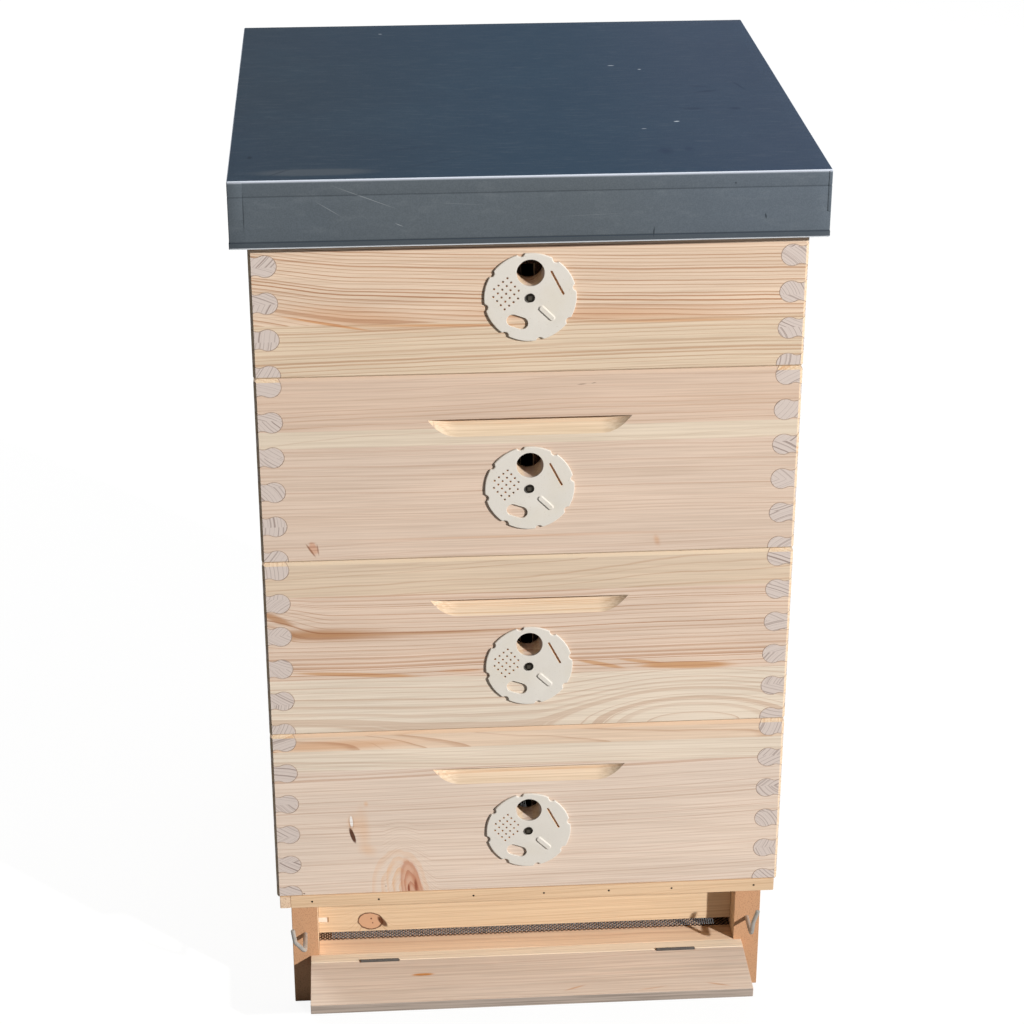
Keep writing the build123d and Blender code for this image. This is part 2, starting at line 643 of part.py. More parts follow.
os.makedirs("parts", exist_ok=True)
make_floor_frame()
make_hooks()
make_flap()
make_boxes()
make_lid()
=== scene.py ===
import math
import random
from collections import namedtuple

import bpy
from bpy.props import FloatProperty, FloatVectorProperty, PointerProperty
from mathutils import Matrix, Vector


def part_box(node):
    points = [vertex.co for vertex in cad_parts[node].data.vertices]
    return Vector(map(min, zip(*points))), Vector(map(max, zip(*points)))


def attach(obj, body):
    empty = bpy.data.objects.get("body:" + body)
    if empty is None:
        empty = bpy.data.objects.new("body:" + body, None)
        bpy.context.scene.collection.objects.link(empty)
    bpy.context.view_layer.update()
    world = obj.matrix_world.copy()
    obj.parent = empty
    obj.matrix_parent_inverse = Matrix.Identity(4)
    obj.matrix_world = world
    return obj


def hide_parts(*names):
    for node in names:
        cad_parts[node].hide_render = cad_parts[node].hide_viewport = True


bl_info = {
    "name": "Multi-box beehive",
    "version": (1, 0, 0),
    "blender": (4, 5, 0),
    "location": "View3D > Sidebar > Beehive",
    "description": "Finishes the pieces of a wooden beehive: pine boxes, metal lid, flap and fittings",
    "category": "Object",
}

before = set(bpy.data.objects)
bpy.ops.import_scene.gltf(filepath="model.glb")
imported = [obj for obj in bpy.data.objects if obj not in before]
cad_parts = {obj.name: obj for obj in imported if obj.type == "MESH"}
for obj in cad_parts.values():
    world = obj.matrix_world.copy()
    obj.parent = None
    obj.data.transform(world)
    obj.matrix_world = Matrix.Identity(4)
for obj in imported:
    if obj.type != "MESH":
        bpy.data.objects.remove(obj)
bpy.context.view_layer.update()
BOX_COUNT = 4
MM = 0.001


def colour(red, green, blue):
    """Return a screen colour, 0 to 255, as the linear colour that materials use."""
    shares = (part / 255 for part in (red, green, blue))
    return tuple(s / 12.92 if s <= 0.04045 else ((s + 0.055) / 1.055) ** 2.4 for s in shares)


def darker(tone, share):
    """Return a share of a linear colour."""
    return tuple(share * part for part in tone)


# Sizes and colours that a user would change


def length(name, description, default):
    """Return a property for a length in metres."""
    return FloatProperty(name=name, description=description, default=default, unit="LENGTH", precision=5)


def tint(name, description, default):
    """Return a property for a colour."""
    return FloatVectorProperty(
        name=name, description=description, default=default, subtype="COLOR", size=3, min=0, max=1
    )


def angle(name, description, degrees):
    """Return a property for an angle."""
    return FloatProperty(name=name, description=description, default=math.radians(degrees), subtype="ANGLE")


def power(name, description, default):
    """Return a property for a lamp's power."""
    return FloatProperty(name=name, description=description, default=default, unit="POWER")


class HiveWoodSettings(bpy.types.PropertyGroup):
    """Edges and colours of the wooden pieces."""

    box_edge: length("Box edge", "Rounding of the box boards' edges", 0.3 * MM)
    floor_edge: length("Floor edge", "Rounding of the floor boards' edges", 0.7 * MM)
    frame_edge: length("Frame edge", "Rounding of the hanging frames' bars", 0.8 * MM)
    sheet_edge: length("Board edge", "Rounding of hardboard edges", 0.4 * MM)
    ring_width: length("Ring width", "Growth of the tree in one year", 3.0 * MM)
    wander: length("Wander", "How far the rings drift along a board", 6.0 * MM)
    late_wood: tint("Late wood", "Colour of the dark growth lines", colour(170, 118, 80))
    end_grain: tint("End grain", "Colour of sawn ends", colour(208, 194, 186))
    end_lines: tint("End lines", "Colour of the rings on sawn ends", colour(122, 100, 92))
    pores: tint("Pores", "Colour of the pores on sawn posts", colour(146, 98, 68))
    # Painted shade: the rounded edges of the boards take this darker tone, so that the joints show as dark
    # lines.
    joint_line_shade: tint("Joint line", "Colour of the thin gaps between boards", colour(194, 170, 152))
    fresh_cut: tint("Fresh cut", "Colour of routed handholds and chamfers", colour(224, 202, 174))
    resin: tint("Resin", "Colour of resin streaks", colour(206, 150, 96))
    hardboard: tint("Hardboard", "Colour of the crown board and the lid's lining", colour(150, 112, 78))
    # Painted shade: the frames' faces towards the front and back take this near-black tone, so that the
    # inside of a box looks dark through its bore.
    frame_end_shade: tint("Frame end shade", "Colour of the frames' stained side bars", colour(58, 42, 32))
    wax: tint("Wax", "Colour of the wax foundation", colour(224, 172, 84))


class HiveLidSettings(bpy.types.PropertyGroup):
    """Shape and finish of the sheet-metal lid."""

    sheet: length("Sheet", "Thickness of the sheet metal", 0.7 * MM)
    fold: length("Fold", "Radius of the folded top edge", 1.4 * MM)
    inset: length("Inset", "How far the skirt lies inside the hem and the corner laps", 0.3 * MM)
    crease: length("Crease", "Drop of the pressed line under the top edge", 14.3 * MM)
    hem: length("Hem", "Height of the folded hem", 6.0 * MM)
    hem_return: length("Hem return", "Width of the hem's return under the skirt", 9.0 * MM)
    wave: length("Wave", "Depth of the dents in the sheet", 0.25 * MM)
    inner_gap: length("Inner gap", "Room between the sheet and the rim inside it", 0.7 * MM)
    left_lap: length("Left lap", "Width of the corner lap at the left", 13.0 * MM)
    right_lap: length("Right lap", "Width of the corner lap at the right", 3.5 * MM)
    lap_height: length("Lap height", "Height of the corner laps", 36.0 * MM)
    paint: tint("Paint", "Colour of the lid's top", colour(46, 65, 83))
    # Painted reflection: the skirt gets its own greyer, lighter colour than the top, standing in for what the
    # upright sides reflect.
    skirt_tone_with_reflection: tint("Skirt paint", "Colour of the lid's skirt", colour(91, 98, 104))
    dust: tint("Dust", "Colour of scratches and dust", colour(150, 156, 160))


class HiveFittingSettings(bpy.types.PropertyGroup):
    """Plastic discs, screws, wire and steel fittings."""

    disc_edge: length("Disc edge", "Rounding of the entrance discs' edges", 0.9 * MM)
    steel_edge: length("Steel edge", "Rounding of small steel edges", 0.15 * MM)
    hook_tip: length("Hook tip", "Rounding of the hooks' ends", 0.8 * MM)
    wire_pitch: length("Wire pitch", "Distance between the floor's wires", 2.2 * MM)
    wire_radius: length("Wire radius", "Radius of the floor's wires", 0.54 * MM)
    mesh_border: length("Mesh border", "Width of the mesh's flat border", 1.0 * MM)
    cross_width: length("Cross width", "Width of the cross in a disc screw's head", 1.1 * MM)
    ivory: tint("Ivory", "Colour of the entrance discs", colour(219, 213, 204))
    zinc: tint("Zinc", "Colour of zinc-plated steel", colour(196, 192, 186))
    dark_steel: tint("Dark steel", "Colour of nails and disc screws", colour(74, 68, 62))
    # Painted light and shade: the wires are painted dark where the weave dips and bright where it rises.
    wire: tint("Wire", "Colour of the wires where the weave dips", colour(64, 40, 29))
    lit_wire_crest: tint("Bright wire", "Colour of the wires where the weave rises", colour(208, 172, 142))


class HiveStageSettings(bpy.types.PropertyGroup):
    """Camera, lamps and floor."""

    camera_place: FloatVectorProperty(
        name="Camera place", description="Where the camera stands", default=(-0.15274, -2.24610, 1.47159),
        subtype="TRANSLATION", unit="LENGTH", size=3
    )
    azimuth: angle("Azimuth", "Turn of the camera about the hive", -3.868)
    elevation: angle("Elevation", "How far the camera looks down", 24.915)
    lens: FloatProperty(
        name="Lens", description="Focal length for a 36 mm sensor", default=88.32, unit="CAMERA"
    )
    key_power: power("Key power", "Power of the lamp at the upper right", 1085.0)
    top_power: power("Top power", "Power of the soft lamp overhead", 69.0)
    back_power: power("Back power", "Power of the soft lamp behind the hive", 270.0)
    sky: FloatProperty(name="Sky", description="Strength of the even light from all round", default=0.08)
    floor_half: length("Floor half", "Half the floor's width", 25.0)
    paper: tint("Paper", "Colour of the floor where it is lit", colour(140, 140, 139))
    glow: FloatProperty(name="Glow", description="How bright the camera sees the floor", default=1.66)


def wood():
    """Return the settings of the wooden pieces."""
    return bpy.context.scene.hive_wood


def lid_looks():
    """Return the settings of the lid."""
    return bpy.context.scene.hive_lid


def fittings():
    """Return the settings of the discs, wire and steel."""
    return bpy.context.scene.hive_fittings


# Modelling helpers

MERGE_REACH = 0.002 * MM
FLAT_WITHIN = math.radians(0.4)


def deselect_all():
    """Leave nothing selected, in object mode."""
    bpy.ops.object.select_all(action="DESELECT")


def select_only(*pieces):
    """Select some pieces and nothing else, the first one active."""
    deselect_all()
    for piece in pieces:
        piece.select_set(True)
    bpy.context.view_layer.objects.active = pieces[0]


def edit(piece, mode="VERT"):
    """Open a piece in edit mode with nothing selected."""
    select_only(piece)
    bpy.ops.object.mode_set(mode="EDIT")
    bpy.ops.mesh.select_mode(type=mode)
    bpy.ops.mesh.select_all(action="DESELECT")


def end_edit():
    """Go back to object mode."""
    bpy.ops.object.mode_set(mode="OBJECT")


def pick_vertices(piece, test):
    """In edit mode, select the vertices whose place passes a test."""
    bpy.ops.object.mode_set(mode="OBJECT")
    for vertex in piece.data.vertices:
        vertex.select = test(vertex.co)
    bpy.ops.object.mode_set(mode="EDIT")


def pick_edges(piece, test):
    """In edit mode, select the edges whose two ends pass a test."""
    bpy.ops.object.mode_set(mode="OBJECT")
    places = [vertex.co for vertex in piece.data.vertices]
    for edge in piece.data.edges:
        first, second = edge.vertices
        edge.select = test(places[first], places[second])
    bpy.ops.object.mode_set(mode="EDIT")


def pick_faces(piece, test):
    """In edit mode, select the faces whose centre and normal pass a test."""
    bpy.ops.object.mode_set(mode="OBJECT")
    for face in piece.data.polygons:
        face.select = test(face.center, face.normal)
    bpy.ops.object.mode_set(mode="EDIT")


def paint_faces(piece, material, test):
    """Give a dressed piece a second material on the faces whose centre and normal pass a test."""
    piece.data.materials.append(material)
    edit(piece, "FACE")
    pick_faces(piece, test)
    piece.active_material_index = 1
    bpy.ops.object.material_slot_assign()
    end_edit()


def weigh_edges(piece, degrees, share):
    """Give the sharp edges of a piece bevel weights, worked out from each edge's two ends."""
    edit(piece, "EDGE")
    bpy.ops.mesh.edges_select_sharp(sharpness=math.radians(degrees))
    end_edit()
    places = [vertex.co for vertex in piece.data.vertices]
    groups = {}
    for edge in piece.data.edges:
        if edge.select:
            first, second = edge.vertices
            groups.setdefault(share(places[first], places[second]), set()).add(edge.index)
    for weight, members in groups.items():
        edit(piece, "EDGE")
        end_edit()
        for index in members:
            piece.data.edges[index].select = True
        bpy.ops.object.mode_set(mode="EDIT")
        bpy.ops.transform.edge_bevelweight(value=weight)
        end_edit()


def settle():
    """Put the active piece's place, turn and scale into its mesh."""
    bpy.ops.object.transform_apply(location=True, rotation=True, scale=True)


def stretch_new(name, scale):
    """Return the shape that was just added, named and stretched."""
    piece = bpy.context.object
    piece.name = name
    piece.scale = scale
    settle()
    return piece


def apply_modifier(piece, name, kind, **values):
    """Add a modifier to a piece and apply it."""
    select_only(piece)
    modifier = piece.modifiers.new(name, kind)
    for setting, value in values.items():
        setattr(modifier, setting, value)
    bpy.ops.object.modifier_apply(modifier=modifier.name)


def smooth(piece, degrees=35):
    """Shade a piece smooth, with its sharp edges kept."""
    select_only(piece)
    bpy.ops.object.shade_smooth_by_angle(angle=math.radians(degrees))


def copy_of_node(node):
    """Return a copy of a solid, its loose triangles merged into whole faces."""
    piece = bpy.data.objects.new(f"{node}_dressed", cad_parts[node].data.copy())
    bpy.context.scene.collection.objects.link(piece)
    select_only(piece)
    bpy.ops.mesh.customdata_custom_splitnormals_clear()
    bpy.ops.object.mode_set(mode="EDIT")
    bpy.ops.mesh.select_all(action="SELECT")
    bpy.ops.mesh.remove_doubles(threshold=MERGE_REACH)
    bpy.ops.mesh.dissolve_limited(angle_limit=FLAT_WITHIN)
    end_edit()
    return piece


def eased_copy(node, width, segments=2, degrees=35, line=None, share=None):
    """Return a copy of a solid with its sharp edges rounded.

    A line material paints the rounded edges darker, as painted shade that shows them as lines, and a share
    says how much of the width each edge gets.
    """
    piece = copy_of_node(node)
    if line:
        piece.data.materials.append(line)
    if share:
        weigh_edges(piece, degrees, share)
    limit = "WEIGHT" if share else "ANGLE"
    apply_modifier(
        piece, "Eased edges", "BEVEL", width=width, segments=segments, limit_method=limit,
        angle_limit=math.radians(degrees), use_clamp_overlap=False, material=1 if line else -1
    )
    smooth(piece)
    apply_modifier(piece, "Flat faces", "WEIGHTED_NORMAL", weight=100, keep_sharp=True)
    return piece


def dress(piece, material, body, slot, *nodes):
    """Give a finished piece its material, and let it ride on a body in place of solids."""
    if piece.data.materials:
        piece.data.materials[0] = material
    else:
        piece.data.materials.append(material)
    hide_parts(*nodes)
    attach(piece, body)


def finish_node(node, material):
    """Give a solid that stays as it is a better material."""
    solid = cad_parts[node]
    solid.data.materials.clear()
    solid.data.materials.append(material)


# Shader helpers

FLOAT = "NodeSocketFloat"
VECTOR = "NodeSocketVector"


class Nodes:
    """Adds nodes to one tree and joins them."""

    def __init__(self, tree):
        self.tree = tree

    def add(self, kind, inputs=None, **settings):
        """Add a node, with its settings, and fill inputs by name or number."""
        node = self.tree.nodes.new(f"ShaderNode{kind}")
        for setting, value in settings.items():
            setattr(node, setting, value)
        for socket, value in (inputs or {}).items():
            self.fill(node.inputs[socket], value)
        return node

    def fill(self, socket, value):
        """Link a socket to an output, or set it to a plain value."""
        if isinstance(value, bpy.types.NodeSocket):
            self.tree.links.new(value, socket)
        elif socket.type == "RGBA" and len(value) == 3:
            socket.default_value = (*value, 1.0)
        else:
            socket.default_value = value

    def math(self, operation, *values):
        """Return a number worked out from others."""
        return self.add("Math", dict(enumerate(values)), operation=operation).outputs[0]

    def vector(self, operation, *values):
        """Return a vector worked out from others."""
        return self.add("VectorMath", dict(enumerate(values)), operation=operation).outputs["Vector"]

    def size(self, vector):
        """Return the length of a vector."""
        return self.add("VectorMath", {0: vector}, operation="LENGTH").outputs["Value"]

    def parts(self, vector):
        """Return the three parts of a vector."""
        return self.add("SeparateXYZ", {0: vector}).outputs

    def remap(self, value, low, high, start=0.0, end=1.0):
        """Return a value carried smoothly from one span to another."""
        inputs = {0: value, 1: low, 2: high, 3: start, 4: end}
        return self.add("MapRange", inputs, interpolation_type="SMOOTHSTEP").outputs[0]

    def mix(self, factor, first, second, blend="MIX"):
        """Return a blend of two colours."""
        node = self.add("Mix", {0: factor, 6: first, 7: second}, data_type="RGBA", blend_type=blend)
        return node.outputs[2]

    def stain(self, surface, mask, share, tone):
        """Return a surface that takes up to a share of a tone where a mask shows it."""
        return self.mix(self.math("MULTIPLY", mask, share), surface, tone)

    def shade(self, surface, factors):
        """Return a surface multiplied by a colour."""
        return self.mix(1.0, surface, factors, "MULTIPLY")

    def noise(self, place, scale, detail=2.0, roughness=0.5):
        """Return soft noise from 0 to 1."""
        inputs = {"Vector": place, "Scale": scale, "Detail": detail, "Roughness": roughness}
        return self.add("TexNoise", inputs).outputs["Fac"]

    def scatter(self, value):
        """Return a random number for each whole number."""
        return self.add("TexWhiteNoise", {"W": value}, noise_dimensions="1D").outputs["Value"]

    def steps(self, value, stops):
        """Return a colour and an alpha that change in steps, from (start, colour with alpha) pairs."""
        node = self.add("ValToRGB", {0: value})
        ramp = node.color_ramp
        ramp.interpolation = "CONSTANT"
        ramp.elements.remove(ramp.elements[-1])
        ramp.elements[0].position = 0.0
        ramp.elements[0].color = stops[0][1]
        for start, value in stops[1:]:
            ramp.elements.new(start).color = value
        return node.outputs["Color"], node.outputs["Alpha"]

    def local(self, place, centre, half, turn=(0, 0, 0)):
        """Return a place measured from a centre, in half sizes."""
        inputs = {"Vector": place, "Location": centre, "Rotation": turn, "Scale": half}
        return self.add("Mapping", inputs, vector_type="TEXTURE").outputs[0]

    def group(self, tree, **inputs):
        """Place a node group and return its outputs."""
        node = self.add("Group", node_tree=tree)
        for socket, value in inputs.items():
            self.fill(node.inputs[socket.replace("_", " ").title()], value)
        return node.outputs


def new_group(name, inputs, outputs):
    """Return a new node group with named sockets, its nodes, its given values and its end."""
    tree = bpy.data.node_groups.new(name, "ShaderNodeTree")
    for socket, kind in inputs.items():
        tree.interface.new_socket(socket, in_out="INPUT", socket_type=kind)
    for socket, kind in outputs.items():
        tree.interface.new_socket(socket, in_out="OUTPUT", socket_type=kind)
    given = tree.nodes.new("NodeGroupInput").outputs
    end = tree.nodes.new("NodeGroupOutput").inputs
    return tree, Nodes(tree), given, end


def shared_group(name, build):
    """Return a node group by its name, built on its first use."""
    found = bpy.data.node_groups.get(name)
    return found if found else build(name)


def new_material(name):
    """Return a new material, its nodes, its principled shader and its object coordinates."""
    material = bpy.data.materials.new(name)
    material.use_nodes = True
    material.node_tree.nodes.clear()
    nodes = Nodes(material.node_tree)
    shader = nodes.add("BsdfPrincipled")
    end = nodes.add("OutputMaterial")
    nodes.fill(end.inputs["Surface"], shader.outputs[0])
    return material, nodes, shader.inputs, nodes.add("TexCoord").outputs


def add_bump(nodes, shader, height, distance, strength=1.0):
    """Let a height raise the surface by a distance."""
    bump = nodes.add("Bump", {"Height": height, "Distance": distance, "Strength": strength})
    nodes.fill(shader["Normal"], bump.outputs[0])


# Effects shared by several materials


def build_pine_grain(name):
    """Make the growth rings of a board whose grain runs along X.

    The pith's Y and Z say where the tree's middle lies, and its X how fast the rings widen along the board.
    """
    inputs = {
        "Place": VECTOR, "Pith": VECTOR, "Ring Width": FLOAT, "Wander": FLOAT, "Bulge": FLOAT, "Seed": FLOAT,
    }
    outputs = {"Rings": FLOAT, "Thin Rings": FLOAT, "Fibre": FLOAT, "Cloud": FLOAT}
    tree, nodes, given, end = new_group(name, inputs, outputs)
    place = given["Place"]
    seed = given["Seed"]
    seeds = nodes.add("CombineXYZ", {0: seed, 1: seed, 2: seed}).outputs[0]
    shift = nodes.vector("MULTIPLY", seeds, (1.7, 3.1, 2.3))
    shifted = nodes.vector("ADD", place, shift)

    slow = nodes.noise(nodes.vector("MULTIPLY", shifted, (3.2, 7.0, 7.0)), 1.0, 1.0)
    quick = nodes.noise(nodes.vector("MULTIPLY", shifted, (14.0, 55.0, 55.0)), 1.0, 2.0)
    drift = nodes.math("MULTIPLY_ADD", quick, 0.14, slow)
    drift = nodes.math("MULTIPLY", nodes.math("SUBTRACT", drift, 0.57), given["Wander"])

    along = nodes.parts(place)[0]
    taper = nodes.parts(given["Pith"])[0]
    across = nodes.vector("MULTIPLY", nodes.vector("SUBTRACT", place, given["Pith"]), (0.0, 1.0, 1.0))
    radius = nodes.math("MULTIPLY_ADD", along, taper, nodes.size(across))
    radius = nodes.math("ADD", radius, nodes.math("MULTIPLY", drift, 2.0))
    radius = nodes.math("ADD", radius, given["Bulge"])
    depth = nodes.math("MULTIPLY_ADD", radius, 70.0, seed)
    uneven = nodes.add("TexNoise", {"W": depth}, noise_dimensions="1D")
    count = nodes.math("DIVIDE", radius, given["Ring Width"])
    count = nodes.math("MULTIPLY_ADD", uneven.outputs["Fac"], 1.5, count)
    year = nodes.math("FRACT", count)
    number = nodes.math("ADD", nodes.math("FLOOR", count), nodes.math("MULTIPLY", seed, 31.0))
    strength = nodes.math("MULTIPLY_ADD", nodes.scatter(number), 0.5, 0.5)

    rise = nodes.remap(year, 0.40, 0.92)
    fall = nodes.remap(year, 1.0, 0.95)
    late = nodes.math("MULTIPLY", nodes.math("POWER", rise, 2.0), fall)
    thin = nodes.math("MULTIPLY", nodes.remap(year, 0.72, 0.92), fall)
    nodes.fill(end["Rings"], nodes.math("MULTIPLY", late, strength))
    nodes.fill(end["Thin Rings"], nodes.math("MULTIPLY", thin, strength))
    fibre = nodes.noise(nodes.vector("MULTIPLY", shifted, (7.0, 620.0, 620.0)), 1.0, 3.0, 0.65)
    nodes.fill(end["Fibre"], fibre)
    cloud = nodes.noise(nodes.vector("MULTIPLY", shifted, (5.0, 24.0, 24.0)), 1.0, 2.0)
    nodes.fill(end["Cloud"], cloud)
    return tree


def build_cut_faces(name):
    """Tell sawn ends and slanting routed faces by the normal, with the grain along X."""
    tree, nodes, given, end = new_group(name, {"Normal": VECTOR}, {"Sawn End": FLOAT, "Routed": FLOAT})
    facing = nodes.parts(nodes.vector("ABSOLUTE", given["Normal"]))
    nodes.fill(end["Sawn End"], nodes.remap(facing[0], 0.78, 0.92))
    most = nodes.math("MAXIMUM", nodes.math("MAXIMUM", facing[0], facing[1]), facing[2])
    nodes.fill(end["Routed"], nodes.remap(most, 0.97, 0.88))
    return tree


def build_wood_knot(name):
    """Make a knot from a place measured in its half sizes: body, rim, rings and the swirl round it."""
    outputs = {"Body": FLOAT, "Rim": FLOAT, "Rings": FLOAT, "Swirl": FLOAT}
    tree, nodes, given, end = new_group(name, {"Local": VECTOR, "Softness": FLOAT}, outputs)
    ragged = nodes.math("MULTIPLY", nodes.math("SUBTRACT", nodes.noise(given["Local"], 2.3, 3.0), 0.5), 0.22)
    radius = nodes.math("ADD", nodes.size(given["Local"]), ragged)
    edge = nodes.math("SUBTRACT", 1.0, given["Softness"])
    nodes.fill(end["Body"], nodes.remap(radius, 1.0, edge))
    off_rim = nodes.math("ABSOLUTE", nodes.math("SUBTRACT", radius, 0.97))
    nodes.fill(end["Rim"], nodes.remap(off_rim, 0.10, 0.02))
    nodes.fill(end["Rings"], nodes.remap(nodes.math("FRACT", nodes.math("MULTIPLY", radius, 3.6)), 0.3, 0.95))
    nodes.fill(end["Swirl"], nodes.remap(nodes.size(given["Local"]), 2.2, 0.3))
    return tree


def build_handling(name):
    """Make soft smudges and fine specks, as on things that are touched and stand outside."""
    outputs = {"Smudge": FLOAT, "Speck": FLOAT, "Streak": FLOAT}
    tree, nodes, given, end = new_group(name, {"Place": VECTOR, "Scale": FLOAT}, outputs)
    smudge = nodes.noise(given["Place"], given["Scale"], 4.0, 0.6)
    nodes.fill(end["Smudge"], nodes.remap(smudge, 0.46, 0.72))
    fine = nodes.noise(given["Place"], nodes.math("MULTIPLY", given["Scale"], 28.0), 1.0)
    nodes.fill(end["Speck"], nodes.remap(fine, 0.68, 0.76))
    long_way = nodes.vector("MULTIPLY", given["Place"], (0.35, 4.5, 1.0))
    streak = nodes.noise(long_way, nodes.math("MULTIPLY", given["Scale"], 3.0), 3.0, 0.65)
    nodes.fill(end["Streak"], nodes.remap(streak, 0.50, 0.75))
    return tree


def handling_marks(nodes, place, scale):
    """Return the smudges, specks and streaks of a surface."""
    return nodes.group(shared_group("Handling", build_handling), place=place, scale=scale)


# Pine boards

Stave = namedtuple("Stave", "start tint lines ring pith_across pith_behind taper")
Mark = namedtuple("Mark", "along across half_along half_across turn colour strength softness")
Knot = namedtuple("Knot", "along across half_along half_across turn body dark show softness rim swirl")

# Widest pith and taper that a stave can have, and a half size that no board reaches
PITH_REACH = 0.40
TAPER_REACH = 0.20
FAR = 100.0
QUARTER_BACK = math.radians(-90)
CHAMFER_HEIGHT = 4 * MM
# Stave widths of the boards behind and at the sides, in metres, and seeds for random picks
BACK_STAVE = 0.06
SIDE_STAVE = 0.034
FRAME_SEED = 60
RIM_SEED = 80
FLOOR_SEED = 100

PINK = colour(221, 199, 181)
PALE_PINK = colour(223, 205, 190)
ROSY = colour(224, 201, 179)
ROSY_GREY = colour(216, 192, 173)
PINK_GREY = colour(217, 196, 179)
DULL_STRAW = colour(215, 195, 173)
YELLOW = colour(220, 205, 186)
PALE_YELLOW = colour(225, 211, 194)
STRAW = colour(221, 201, 177)
RESIN = colour(204, 148, 102)
AMBER = colour(204, 138, 72)
BROWN = colour(176, 126, 84)
DARK_BROWN = colour(84, 46, 28)
REDDISH = colour(186, 126, 98)
ROSE = colour(207, 162, 136)
RED_BROWN = colour(140, 76, 54)
BARK = colour(150, 104, 80)
HONEY = colour(200, 154, 114)
BROWN_KNOT = colour(204, 161, 129)
TAN = colour(222, 172, 126)
RESIN_HIGHLIGHT = colour(240, 236, 232)
WEATHERED = colour(176, 160, 146)

# Staves from the bottom of each front board up, as the four fronts show them
FRONT_STAVES = {
    1: (
        Stave(0.00, PALE_PINK, 0.46, 0.60, 0.150, 0.050, 0.020),
        Stave(0.77, PALE_YELLOW, 0.40, 0.70, -0.120, 0.060, 0.030),
        Stave(0.892, ROSY, 0.60, 0.50, 0.070, 0.030, 0.032),
    ),
    2: (
        Stave(0.00, PALE_YELLOW, 0.52, 0.70, -0.090, 0.030, 0.004),
        Stave(0.317, PINK, 0.82, 0.62, 0.130, 0.060, 0.006),
        Stave(0.80, DULL_STRAW, 0.40, 0.40, 0.110, 0.100, 0.020),
    ),
    3: (
        Stave(0.00, PINK_GREY, 0.28, 0.60, 0.080, 0.070, 0.015),
        Stave(0.105, PINK_GREY, 0.36, 0.60, -0.140, 0.050, 0.004),
        Stave(0.6215, YELLOW, 0.26, 0.60, 0.060, 0.090, 0.010),
        Stave(0.7115, ROSY_GREY, 0.42, 0.60, 0.120, 0.080, 0.012),
    ),
    4: (
        Stave(0.00, STRAW, 0.56, 0.58, 0.120, 0.080, 0.006),
        Stave(0.27, ROSY, 0.82, 0.45, -0.0705, 0.035, 0.020),
    ),
}

